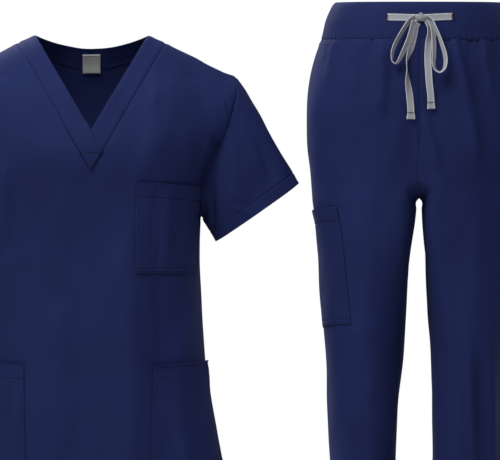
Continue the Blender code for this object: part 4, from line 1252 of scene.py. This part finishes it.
def make_sleeve(name, side, halves, navy, lines):
    """One sleeve as a tube, with its hem turned up and its seam under the arm."""
    (front, front_out), (back, back_out) = halves["front", side], halves["back", side]
    first, second = (front, back) if side > 0 else (back, front)
    first_out, second_out = (front_out, back_out) if side > 0 else (back_out, front_out)
    grid = np.concatenate([first, second[:, 1:-1]], axis=1)
    normals = np.concatenate([first_out, second_out[:, 1:-1]], axis=1)
    x, z = side * grid[..., 0], grid[..., 2]
    is_front = np.zeros(grid.shape[1], bool)
    if side > 0:
        is_front[: front.shape[1]] = True
    else:
        is_front[back.shape[1] :] = True
    own = np.where(is_front, fold_lift(SLEEVE_FRONT_CREASES, x, z), fold_lift(SLEEVE_BACK_CREASES, x, z))
    body = np.where(
        is_front,
        fold_lift(FRONT_CREASES, grid[..., 0], z),
        fold_lift(BACK_CREASES, grid[..., 0], z),
    )
    up = run_along(grid, 0)
    inside = fade(up[-1:] - up, 0.0, 0.030)
    lift = own * inside + body * (1 - inside)
    under = np.minimum(run_along(grid, 1), 1.0)
    seam = -SEAM_DIP * np.exp(-((under / SEAM_SOFT) ** 2))
    shaped = dressed(grid, normals, lift + seam_relief(grid, ("top",)) + seam + groove(up - SLEEVE_HEM_DEPTH))
    piece = shell(name + "_cloth", [(shaped, normals)], navy, (name,), ring=True)
    hem_row = nearest(up[:, 0], SLEEVE_HEM_DEPTH)
    lines.append((np.concatenate([shaped[hem_row], shaped[hem_row, :1]]), normals[hem_row]))


def make_neckband(trim, lines):
    """The band: two lapped front strips and a back strip, each folded double and edge-stitched."""
    across = places_along(BAND_WIDTH, BAND_CELL)
    steps = np.linspace(NECK_ROW["front"], YOKE_ROWS, (YOKE_ROWS - NECK_ROW["front"]) * 9 + 1)
    for side, name in ((-1, "left"), (1, "right")):
        rows = []
        for row in steps:
            share = neck_share("front", row)
            if side > 0:
                share = FIRST_SHARE + (1 - FIRST_SHARE) * share
            seam, edge = front_seam(share), front_edge(share)
            x, z = along_shoulder(edge, seam, across, 1.0)
            lap = LAP_LIFT * (1 - fade(z, V_EDGE_TIP, LAP_START)) if side < 0 else 0.0
            points = torso_point("front", side * x, z, lap)
            if row == YOKE_ROWS:
                points[:, 1] = 0.0
            rows.append(points)
        grid = np.array(rows)
        if side < 0:
            grid = grid[:, ::-1]
        normals = facing(grid)
        normals[-1] = levelled(normals[-1], 1)
        creases = fold_lift(FRONT_CREASES, grid[..., 0], grid[..., 2])
        shaped = dressed(grid, normals, creases + seam_relief(grid, ("left", "right", "top")) + 0.0003)
        piece = shell("neckband_" + name + "_cloth", [(shaped, normals)], trim,
                      ("neckband_" + name,), thickness=BAND_SHELL)
        inset = 2 if side > 0 else -3
        lines.append((shaped[:, inset], normals[:, inset]))
    places = np.linspace(0.0, 1.0, 60)
    rows = []
    for share in across:
        line = []
        for place in places:
            seam = back_curve(place, SEAM_AT_SHOULDER, BACK_SEAM_DROP)
            edge = back_curve(place, EDGE_AT_SHOULDER, BACK_EDGE_DROP)
            x, z = along_shoulder(seam, edge, share, 1.0)
            point = torso_point("back", x, z)
            point[1] = 0.0 if place == 1.0 else point[1]
            line.append(point)
        rows.append(line)
    half = np.array(rows)[:, ::-1]
    grid = np.concatenate([half, half[:, -2::-1] * np.array([-1.0, 1.0, 1.0])], axis=1)
    normals = facing(grid)
    for edge in (0, -1):
        normals[:, edge] = levelled(normals[:, edge], 1)
    creases = fold_lift(BACK_CREASES, grid[..., 0], grid[..., 2])
    shaped = dressed(grid, normals, creases + 0.3 * seam_relief(grid, ("left", "right", "bottom", "top")))
    piece = shell("neckband_back_cloth", [(shaped, normals)], trim, ("neckband_back",))
    lines.append((shaped[-3], normals[-3]))
    lines.append((shaped[2], normals[2]))


def front_places(path, off):
    """Points and directions a little off the dressed front, at places seen from the front."""
    points = np.array([torso_point("front", x, z) for x, z in path])
    nudge = 0.002
    beside = np.array([torso_point("front", x + nudge, z) for x, z in path]) - points
    above = np.array([torso_point("front", x, z + nudge) for x, z in path]) - points
    outward = unit(np.cross(beside, above))
    creases = np.array([float(fold_lift(FRONT_CREASES, x, z)) for x, z in path])
    return dressed(points, outward, creases + off), outward


def make_band_end(seam_thread):
    """The stitched line across the lapped ends of the band, above its point."""
    left, right = (-0.0186, -0.1762), (0.0215, -0.1756)
    share = np.linspace(0.0, 1.0, 14)
    path = [(left[0] + (right[0] - left[0]) * t, left[1] + (right[1] - left[1]) * t) for t in share]
    points, outward = front_places(path, LAP_LIFT + 0.0004)
    line = stitch_set([(points, outward)], length=0.0032, step=0.0034, width=0.0010)
    sewing("band_end_stitches", [line], seam_thread)


def make_neck_label(woven, seam_thread):
    """A plain woven tab, folded and caught at its top edge."""
    x, z = np.meshgrid(np.linspace(-0.015, 0.012, 16), np.linspace(-0.054, -0.0255, 16))
    grid = torso_point("back", x, z)
    inward = facing(grid)
    curl = 0.0008 * fade(-z, 0.040, 0.054)
    creases = -fold_lift(BACK_CREASES, grid[..., 0], grid[..., 2])
    shaped = grid + inward * (creases - unevenness(grid) + CLOTH + LABEL_GAP + LABEL_CLOTH + curl)[..., None]
    piece = shell("neck_tab", [(shaped, inward)], woven, ("neck_label",), thickness=0.0005)
    edge = (shaped[-2, 1:-1], inward[-2, 1:-1])
    sewing("neck_tab_stitches", [stitch_set([edge], width=0.0004)], seam_thread)


def pocket_grid(bottom_left, bottom_right, top_left, top_right, columns, rows):
    """A pocket's places on the top's front, between four corners seen from the front."""
    lines = []
    for up in rows:
        left = np.array(bottom_left) + (np.array(top_left) - bottom_left) * up
        right = np.array(bottom_right) + (np.array(top_right) - bottom_right) * up
        ends = []
        for x, z in (left, right):
            ends.append(np.arcsin(np.clip(x / torso_half_width("front", z), -1, 1)))
        z = left[1] + (right[1] - left[1]) * columns
        x = torso_half_width("front", z) * np.sin(ends[0] + (ends[1] - ends[0]) * columns)
        lines.append(torso_point("front", x, z))
    return np.array(lines)


def both_edges(width):
    """Distances of the edge stitches from one side of a pocket, near that side and near the other."""
    return EDGE_STITCHES + tuple(width - inset for inset in EDGE_STITCHES[::-1])


def columns_at(shaped, normals, places, distances):
    """The columns of a pocket that lie nearest to some distances, as lines for stitches."""
    columns = [nearest(places, distance) for distance in distances]
    return [(shaped[:, column], normals[:, column]) for column in columns]


def rows_at(shaped, normals, places, distances):
    """The rows of a pocket that lie nearest to some distances, as lines for stitches."""
    rows = [nearest(places, distance) for distance in distances]
    return [(shaped[row], normals[row]) for row in rows]


def make_pocket(name, node, corners, hem, divide, gape, lip, pull, creases, trim, seam_thread):
    """A patch pocket with a turned hem, edge stitching and bar tacks. Pull is how deep its rows draw in."""
    width = corners[1][0] - corners[0][0] + 0.03
    height = corners[2][1] - corners[0][1]
    columns = places_along(width, POCKET_CELL, marks=both_edges(width) + divide)
    rows = places_along(height, POCKET_CELL, marks=(height - hem, height - MOUTH_RIM, *EDGE_STITCHES))
    grid = pocket_grid(*corners, columns, rows)
    normals = facing(grid)
    share_up = rows[:, None]
    away = run_along(grid, 1)
    whole = away[:, -1:]
    mouth = fade(share_up, MOUTH_START, 1.0)
    open_side = columns[None, :] if gape > 0 else 1 - columns[None, :]
    lift = POCKET_GAP + POCKET_CLOTH + abs(gape) * mouth * (LEAST_GAPE + 0.65 * open_side**2)
    lift = lift + 0.0009 * np.sin(np.pi * columns[None, :]) * fade(share_up, 0.2, 0.9)
    for folds in (FRONT_CREASES, creases):
        lift = lift + fold_lift(folds, grid[..., 0], grid[..., 2])
    up = run_along(grid, 0)
    lift = lift + 1.4 * pull * groove(up[-1:] - up - hem) + lip * np.exp(-(((up[-1:] - up) / MOUTH_RIM) ** 2))
    for inset in EDGE_STITCHES:
        lift = lift + pull * (groove(away - inset) + groove(whole - away - inset) + groove(up - inset))
    for place in divide:
        lift = lift + 1.6 * pull * groove(away - place * whole / width)
    shaped = dressed(grid, normals, lift)
    piece = shell(name, [(shaped, normals)], trim, (node,), thickness=POCKET_SHELL)
    lines = columns_at(shaped, normals, columns * width, both_edges(width) + divide)
    lines += rows_at(shaped, normals, rows * height, (height - hem, *EDGE_STITCHES))
    tacks = [(shaped[-8:-1, column], normals[-8:-1, column]) for column in (1, -2)]
    for place in divide:
        column = nearest(columns * width, place)
        tacks.append((shaped[3:9, column], normals[3:9, column]))
    sewing(name + "_stitches", [stitch_set(lines), stitch_set(tacks, **BAR_TACK)], seam_thread)


# The trousers
def trouser_heights():
    """Row heights: the legs from the hem to the crotch, then the hips, closer where the legs join."""
    legs = places_along(LEG_LENGTH, CELL * 1.2, marks=(LEG_HEM_DEPTH,), ends=(True, False))[:-1]
    legs = LEG_FOOT + LEG_LENGTH * legs
    arch = CROTCH - 0.0335 * np.linspace(1.0, 0.0, 15) ** 1.8
    joined = CROTCH + FRONT_RISE * (1 - np.cos(np.radians(np.linspace(0.0, 90.0, 17)[1:])))
    top = CROTCH + FRONT_RISE
    rest = WAIST_SEAM - top
    hips = top + rest * places_along(rest, 0.0035, marks=(rest - UNDER_WAIST_STITCHES,))[1:]
    return np.concatenate([legs, arch, joined, hips]), len(legs) + 14


def make_trousers(navy, trim, seam_thread, pale_thread):
    """Two fronts, two backs and the waistband, with the stitches of their seams."""
    heights, crotch_row = trouser_heights()
    lines = []
    for side, side_name in ((-1, "left"), (1, "right")):
        for part, first in (("front", -90.0), ("back", 90.0)):
            angles = np.radians(first + 180.0 * places_along(LEG_PANEL_WIDTH, LEG_CELL))
            if part == "back":
                angles[0] += 1e-9
                angles[-1] -= 1e-9
            grid = np.array([trouser_point(side, angles, np.full_like(angles, z)) for z in heights])
            inside, outside = (0, -1) if part == "front" else (-1, 0)
            middle = through(TROUSERS, "middle", heights)
            grid[:, outside, 1] = middle
            grid[: crotch_row + 1, inside, 1] = middle[: crotch_row + 1]
            if side < 0:
                grid = grid[:, ::-1]
                inside, outside = outside, inside
            normals = facing(grid)
            normals[:, outside] = levelled(normals[:, outside], 1)
            normals[:crotch_row, inside] = levelled(normals[:crotch_row, inside], 1)
            normals[crotch_row:, inside] = levelled(normals[crotch_row:, inside], 0)
            normals[crotch_row, inside] = (0.0, 0.0, -1.0)
            x, z = grid[..., 0] - TROUSER_X, grid[..., 2]
            creases = TROUSER_FRONT_CREASES if part == "front" else TROUSER_BACK_CREASES
            lift = fold_lift(creases + WAIST_GATHERS, x, z)
            seams = seam_relief(grid, ("left", "right", "top"))
            up = run_along(grid, 0)
            pucker = 0.0005 * np.sin(720.0 * grid[-1:, :, 0] + 3.0 * np.sin(95.0 * grid[-1:, :, 0]))
            creases_at_seam = pucker * np.exp((up - up[-1:]) / 0.006)
            hem = groove(up - LEG_HEM_DEPTH) + 0.7 * groove(up[-1:] - up - UNDER_WAIST_STITCHES)
            shaped = dressed(grid, normals, lift + creases_at_seam + seams + hem)
            name = f"trouser_{part}_{side_name}"
            piece = shell(name + "_cloth", [(shaped, normals)], navy, (name,))
            hem_row = nearest(up[:, 5], LEG_HEM_DEPTH)
            top_row = nearest(up[-1, 5] - up[:, 5], UNDER_WAIST_STITCHES)
            lines.append((shaped[hem_row], normals[hem_row]))
            lines.append((shaped[top_row], normals[top_row]))
            near = 2 if inside == 0 else -3
            lines.append((shaped[crotch_row:, near], normals[crotch_row:, near]))
            if name == "trouser_front_left":
                low = (heights > -0.222) & (heights < -0.166)
                caught = (shaped[low, near - 1], normals[low, near - 1])
            if part == "front":
                far = -3 if inside == 0 else 2
                lines.append((shaped[:, far], normals[:, far]))
    make_waistband(trim, lines)
    sewing("trouser_seam_stitches", [stitch_set(lines)], seam_thread)
    seat = stitch_set([caught], length=0.0024, step=0.0044, width=0.0012)
    sewing("seat_seam_stitches", [seat], pale_thread)


def make_waistband(trim, lines):
    """The band: a flat double strip with elastic inside, drawn up a little at its lower seam."""
    angles = np.linspace(0.0, 2 * np.pi, 360, endpoint=False)
    tall = 0.050 - WAIST_SEAM
    heights = WAIST_SEAM + tall * places_along(tall, 0.003, marks=(BAND_STITCHES,))
    heights[0] -= WAIST_LAP
    grid = np.array([waist_point(angles, np.full_like(angles, z)) for z in heights])
    normals = levelled(facing(grid, ring=True), 2)
    up = run_along(grid, 0)
    pucker = 0.0008 * np.sin(angles * 88 + 3 * np.sin(angles * 7)) * np.exp(-up / 0.008)
    swell = 0.0012 * np.sin(np.pi * np.clip(up / tall, 0, 1))
    rim = -0.0012 * np.exp(-(((up[-1:] - up) / 0.002) ** 2)) - 0.0005 * np.exp(-((up / 0.0016) ** 2))
    lift = 0.5 * unevenness(grid) + pucker + swell + rim + 0.6 * groove(up - BAND_STITCHES)
    shaped = grid + normals * lift[..., None]
    piece = shell("waistband_cloth", [(shaped, normals)], trim, ("waistband",),
                  thickness=WAISTBAND_CLOTH, ring=True)
    row = nearest(up[:, 0], BAND_STITCHES)
    lines.append((np.concatenate([shaped[row], shaped[row, :1]]), normals[row]))


def make_cargo_pocket(trim, seam_thread):
    """The pocket that wraps the left leg's outer side, with a turned-down hem and an inner divide."""
    height, width = CARGO_HEIGHT, CARGO_WIDTH
    rows = places_along(height, POCKET_CELL, marks=(height - CARGO_HEM, height - MOUTH_RIM, *EDGE_STITCHES))
    marks = (*EDGE_STITCHES, CARGO_SLOT, *both_edges(width)[2:])
    columns = places_along(width, POCKET_CELL, marks=marks)
    points = []
    for up in rows:
        front_angle = np.radians(CARGO_FRONT_TURN[0] + (CARGO_FRONT_TURN[1] - CARGO_FRONT_TURN[0]) * up)
        back_angle = np.radians(CARGO_BACK_TURN[0] - (CARGO_BACK_TURN[0] - CARGO_BACK_TURN[1]) * up)
        angles = front_angle + (back_angle - front_angle) * columns
        z = CARGO_FOOT + (CARGO_MOUTH - CARGO_FOOT) * up + CARGO_DIP * np.cos(angles)
        points.append(trouser_point(-1, angles, z))
    grid = np.array(points)[:, ::-1]
    normals = facing(grid)
    x, z = grid[..., 0] - TROUSER_X, grid[..., 2]
    creases = np.where(
        grid[..., 1] < through(TROUSERS, "middle", z),
        fold_lift(TROUSER_FRONT_CREASES, x, z),
        fold_lift(TROUSER_BACK_CREASES, x, z),
    )
    up, away = run_along(grid, 0), run_along(grid, 1)
    whole = away[:, -1:]
    backwards = columns[::-1]
    slot = nearest(backwards * width, CARGO_SLOT)
    hem_rows, foot_rows = rows * height > height - CARGO_HEM, rows * height < 0.012
    lift = CARGO_LIFT + (CARGO_GAPE + 0.0006) * fade(rows[:, None], 0.85, 1.0) + creases
    lift = lift + groove(up[-1:] - up - CARGO_HEM)
    lift = lift + groove(away - away[:, slot : slot + 1]) * (hem_rows | foot_rows)[:, None]
    for inset in EDGE_STITCHES:
        for distance in (away, whole - away, up):
            lift = lift + 0.7 * groove(distance - inset)
    shaped = dressed(grid, normals, lift)
    piece = shell("cargo_patch", [(shaped, normals)], trim, ("cargo_pocket",),
                  thickness=POCKET_SHELL)
    lines = [(shaped[part, slot], normals[part, slot]) for part in (hem_rows, foot_rows)]
    lines += columns_at(shaped, normals, (1 - backwards) * width, both_edges(width))
    lines += rows_at(shaped, normals, rows * height, (height - CARGO_HEM, *EDGE_STITCHES))
    tacks = [(shaped[-8:-1, column], normals[-8:-1, column]) for column in (1, -2)]
    sewing("cargo_patch_stitches", [stitch_set(lines), stitch_set(tacks, **BAR_TACK)], seam_thread)


# The drawstring
def tape_points(route, steps):
    """Points and turns along a smooth curve through a tape's route."""
    table = np.array([(s.x, s.z, s.off, np.radians(s.turn)) for s in route])
    lengths = np.hypot(*np.diff(table[:, :2], axis=0).T)
    place = np.concatenate([[0.0], np.cumsum(lengths)])
    slopes = np.gradient(table, place, axis=0)
    at = np.linspace(0.0, place[-1], steps)
    i = np.clip(np.searchsorted(place, at) - 1, 0, len(place) - 2)
    step = (place[i + 1] - place[i])[:, None]
    t = (at[:, None] - place[i][:, None]) / step
    start = (1 + 2 * t) * (1 - t) ** 2 * table[i] + t * (1 - t) ** 2 * step * slopes[i]
    end = t * t * (3 - 2 * t) * table[i + 1] + t * t * (t - 1) * step * slopes[i + 1]
    return start + end


def tape(name, route, steps, cotton, flare=0.0):
    """A flat tape swept along its route, with a full selvedge on each side."""
    x, z, off, turn = tape_points(route, steps).T
    y = -trousers_front(x, z) - off - TAPE_THICKNESS / 2
    centre = np.stack([TROUSER_X + x, y, z], axis=-1)
    along = unit(np.gradient(centre, axis=0))
    out = np.array([0.0, -1.0, 0.0])
    flat = unit(np.cross(along, out))
    raised = unit(np.cross(flat, along))
    across = flat * np.cos(turn)[:, None] + raised * np.sin(turn)[:, None]
    outward = unit(np.cross(across, along))
    shares = np.array([-0.5, -0.47, -0.42, -0.36, -0.25, -0.12, 0.0, 0.12, 0.25, 0.36, 0.42, 0.47, 0.5])
    side = [0.25, 0.75, 1.0, 0.85, 0.55, 0.5]
    full = np.array([*side, 0.5, *side[::-1]]) * TAPE_THICKNESS
    run = run_along(centre, 0)
    widen = 1 + flare * fade(run, run[-1] - 0.012, run[-1])
    wide = TAPE_WIDTH * widen
    front = centre[:, None] + across[:, None] * (shares[None, :, None] * wide[:, None, None])
    front = front + outward[:, None] * full[None, :, None] * 0.5
    back = front - outward[:, None] * full[None, ::-1, None]
    rows, columns = front.shape[:2]
    points = np.concatenate([front.reshape(-1, 3), back.reshape(-1, 3)])
    count = rows * columns
    faces = []
    for row in range(rows - 1):
        for column in range(columns - 1):
            a = row * columns + column
            faces.append([a, a + 1, a + 1 + columns, a + columns])
            b = a + count
            faces.append([b + columns, b + columns + 1, b + 1, b])
        first, last = row * columns, row * columns + columns - 1
        faces.append([first + columns, first + columns + count, first + count, first])
        faces.append([last, last + count, last + columns + count, last + columns])
    for column in range(columns - 1):
        faces.append([column + 1, column, column + count, column + 1 + count])
        end = (rows - 1) * columns + column
        faces.append([end, end + 1, end + 1 + count, end + count])
    pattern = np.broadcast_arrays(shares[None, :] * TAPE_WIDTH, run[:, None])
    pattern = np.stack(pattern, axis=-1).reshape(-1, 2)
    pattern = np.concatenate([pattern, pattern])
    piece = cloth_piece(name + "_tape", points, faces, pattern, cotton, (name,))
    return centre, across, outward


def make_knot(cotton):
    """The flat knot: the tape goes once round two crossing strands."""
    depth = float(trousers_front(KNOT_AT.x, KNOT_AT.z))
    middle = np.array([TROUSER_X + KNOT_AT.x, -depth - KNOT_AT.off, KNOT_AT.z])
    points, faces, flat = [], [], []

    def wrap(reach, centre, axis, width, thick, start, stop, steps=36):
        """A stretch of tape round an axis: its middle line is an oval, and its width lies along the axis."""
        base = sum(len(p) for p in points)
        turns = np.linspace(np.radians(start), np.radians(stop), steps)
        axis = unit(np.array(axis))
        side = unit(np.cross(axis, [0.0, 1.0, 0.0]))
        forth = np.cross(side, axis)
        shares = np.array([-0.5, -0.44, -0.3, 0.0, 0.3, 0.44, 0.5])
        full = np.array([0.2, 0.9, 0.7, 0.55, 0.7, 0.9, 0.2]) * thick
        rings = []
        for a in turns:
            radial = side * np.cos(a) * reach[0] + forth * np.sin(a) * reach[1]
            out = unit(side * np.cos(a) * reach[1] + forth * np.sin(a) * reach[0])
            line = centre + radial + axis * (shares * width)[:, None] * (0.86 + 0.14 * np.cos(2 * a))
            half = out * full[:, None] / 2
            rings.append(np.concatenate([line + half, (line - half)[::-1]]))
        many = len(rings[0])
        for row in range(steps - 1):
            for column in range(many):
                after = (column + 1) % many
                faces.append([base + row * many + column, base + row * many + after,
                              base + (row + 1) * many + after, base + (row + 1) * many + column])
        faces.append([base + c for c in range(many - 1, -1, -1)])
        faces.append([base + (steps - 1) * many + c for c in range(many)])
        points.append(np.concatenate(rings))
        for a in turns:
            flat.extend([(s * width, a * reach[0]) for s in np.concatenate([shares, shares[::-1]])])

    for reach, shift, *rest in KNOT_WRAPS:
        wrap(reach, middle + shift, *rest)
    return cloth_piece("knot_tape", np.concatenate(points), faces, flat, cotton, ("drawstring_knot",))


def make_drawstring(cotton, dark_thread, seam_thread):
    """The knot, the run across the band, two loops and two tails, with ends and buttonholes."""
    knot = make_knot(cotton)
    run = tape("drawstring_run", TAPE_RUN, 40, cotton)
    tape("drawstring_loop_left", LOOP_LEFT, 90, cotton)
    tape("drawstring_loop_right", LOOP_RIGHT, 110, cotton)
    left = tape("drawstring_tail_left", TAIL_LEFT, 90, cotton, flare=0.28)
    right = tape("drawstring_tail_right", TAIL_RIGHT, 80, cotton, flare=0.16)
    make_tape_ends((left, right), dark_thread)
    make_buttonholes_and_shade(run, seam_thread)


def make_tape_ends(tails, dark_thread):
    """Each end is folded back once and caught with a short row of dark stitches."""
    sets = []
    for centre, across, outward in tails:
        run = run_along(centre, 0)
        at = nearest(run[-1] - run, TAPE_FOLD)
        half = TAPE_WIDTH * 0.42
        line = centre[at] + across[at] * np.linspace(-half, half, 8)[:, None] + outward[at] * 0.0007
        out = np.repeat(outward[at][None], 8, axis=0)
        sets.append(stitch_set([(line, out)], length=0.0022, step=0.0024, width=0.0009))
    sewing("tape_end_stitches", sets, dark_thread)


def make_buttonholes_and_shade(run, seam_thread):
    """Two upright worked buttonholes in the band, where the tape comes out. Their deep navy stitches are also
    painted shade for the shadow round the tape's exits.
    """
    centre = run[0]
    sets = []
    for end, step in ((0, -1), (-1, 1)):
        x = centre[end][0] - TROUSER_X + 0.0002 * step
        z = centre[end][2]
        spots, along, outward = [], [], []
        for a in np.linspace(0, 2 * np.pi, 44, endpoint=False):
            dx, dz = 0.0012 * np.cos(a), 0.0060 * np.sin(a)
            place = (x + dx, z + dz)
            spots.append([TROUSER_X + place[0], -float(trousers_front(*place)) - 0.0011, place[1]])
            along.append(unit(np.array([np.cos(a), 0.0, 0.25 * np.sin(a)])))
            outward.append([0.0, -1.0, 0.0])
        sets.append((np.array(spots), np.array(along), np.array(outward), 0.0015, 0.0007))
    # Painted shade: the dark ring of stitches also stands for the shadow where the tape leaves the band.
    sewing("buttonhole_stitches_and_shade", sets, seam_thread)


# Studio
FLOOR = -1.012


def plane(name, corners, finish):
    """A flat sheet of the studio, which isn't part of the object."""
    mesh = bpy.data.meshes.new(name)
    mesh.from_pydata(corners, [], [[0, 1, 2, 3]])
    mesh.materials.append(finish)
    made = bpy.data.objects.new(name, mesh)
    bpy.context.scene.collection.objects.link(made)


def paper(name, colour):
    """Matt white card: it takes soft shadows and shows no gloss."""
    finish = bpy.data.materials.new(name)
    finish.use_nodes = True
    surface = finish.node_tree.nodes["Principled BSDF"]
    surface.inputs["Base Color"].default_value = linear(colour)
    surface.inputs["Roughness"].default_value = 0.9
    return finish


def make_studio():
    """A pale floor, white all round, a soft key from above the front, a weak fill and two lamps behind."""
    floor = [(-2.6, -2.6, FLOOR), (3.1, -2.6, FLOOR), (3.1, 2.6, FLOOR), (-2.6, 2.6, FLOOR)]
    plane("floor", floor, paper("matt floor paint, pale grey", "#ececec"))
    for name, place, size, power, target in (
        ("key", (-0.5, -1.2, 1.9), 1.5, 47.0, (0.25, 0.0, -0.2)),
        ("fill", (0.7, -4.0, 0.0), 1.8, 6.0, (0.4, 0.0, -0.5)),
        ("back_left", (-1.5, 2.2, 1.6), 1.2, 60.0, (0.2, 0.0, -0.4)),
        ("back_right", (2.8, 1.6, 0.7), 1.6, 17.0, (0.3, 0.0, -0.4)),
    ):
        light = bpy.data.objects.new(name, bpy.data.lights.new(name, "AREA"))
        light.data.shape = "SQUARE"
        light.data.size = size
        light.data.energy = power
        light.location = place
        aim = np.array(target) - np.array(place)
        light.rotation_euler = Vector(aim).to_track_quat("-Z", "Y").to_euler()
        bpy.context.scene.collection.objects.link(light)
    world = bpy.data.worlds.new("studio")
    world.use_nodes = True
    tree = world.node_tree
    dim = tree.nodes["Background"]
    dim.inputs["Color"].default_value = (1.0, 1.0, 1.0, 1.0)
    dim.inputs["Strength"].default_value = 0.09
    bright = add(tree, "ShaderNodeBackground", {"Color": (1.0, 1.0, 1.0, 1.0), "Strength": 1.0})
    seen = add(tree, "ShaderNodeLightPath")
    mixed = add(tree, "ShaderNodeMixShader", {
        0: seen.outputs["Is Camera Ray"], 1: dim.outputs["Background"], 2: bright.outputs["Background"],
    })
    tree.links.new(mixed.outputs["Shader"], tree.nodes["World Output"].inputs["Surface"])
    bpy.context.scene.world = world
    bpy.context.scene.view_settings.view_transform = "Standard"


CHEST_CREASES = [
    Fold(0.099, -0.228, 0.096, -0.350, -0.0028, 0.0100),
    Fold(0.114, -0.240, 0.113, -0.345, 0.0020, 0.0075),
]
LOW_RIGHT_CREASES = [
    Fold(0.0945, -0.495, 0.1455, -0.576, 0.0022, 0.007),
    Fold(0.120, -0.560, 0.150, -0.660, 0.0016, 0.009),
]
LOW_LEFT_CREASES = [Fold(-0.115, -0.500, -0.150, -0.600, 0.0018, 0.009)]

make_camera()
# Tape colours: the ribs; the paler edges, which are a painted highlight; the darker hollows between the ribs,
# which are painted shade.
cotton = woven_tape("flat cotton tape, woven", "#c6c9d1", "#eceef2", "#a0a3ae", rib_mm=1.3)
navy_thread = thread("spun polyester thread, navy", "#2a3362")
seam_thread = thread("spun polyester thread, deep navy", "#131838")
dark_thread = thread("spun polyester thread, near black", "#15161c")
# A navy thread paler than the cloth, used only for a short dotted row beside the front crotch seam.
pale_thread = thread("spun polyester thread, pale navy", "#5a66a8")
make_drawstring(cotton, dark_thread, seam_thread)
make_studio()
navy = twill("stretch twill, navy", "#263169", "#1e2857")
trim = twill("stretch twill, navy, cut for trims", "#253068", "#1d2755")
grey_tab = twill("woven polyester tab, grey", "#dadad9", "#c6c6c5", line_mm=0.7, bump=0.15)
make_top(navy, trim, navy_thread)
make_band_end(seam_thread)
make_neck_label(grey_tab, dark_thread)
make_pocket(
    "chest_patch", "chest_pocket",
    ((0.0645, -0.3555), (0.1585, -0.3550), (0.0672, -0.2192), (0.1605, -0.2255)),
    0.0225, (0.036,), 0.0015, 0.0008, 1.0, CHEST_CREASES, trim, navy_thread,
)
make_pocket(
    "low_patch_right", "lower_pocket_right",
    ((0.0860, -0.6680), (0.1990, -0.6680), (0.0915, -0.4935), (0.1660, -0.4865)),
    0.0225, (), 0.0055, 0.0024, 0.45, LOW_RIGHT_CREASES, trim, navy_thread,
)
make_pocket(
    "low_patch_left", "lower_pocket_left",
    ((-0.1990, -0.6680), (-0.0985, -0.6680), (-0.1660, -0.4865), (-0.0985, -0.4915)),
    0.0225, (0.105,), -0.0030, 0.0010, 0.8, LOW_LEFT_CREASES, trim, navy_thread,
)
make_trousers(navy, trim, navy_thread, pale_thread)
make_cargo_pocket(trim, navy_thread)
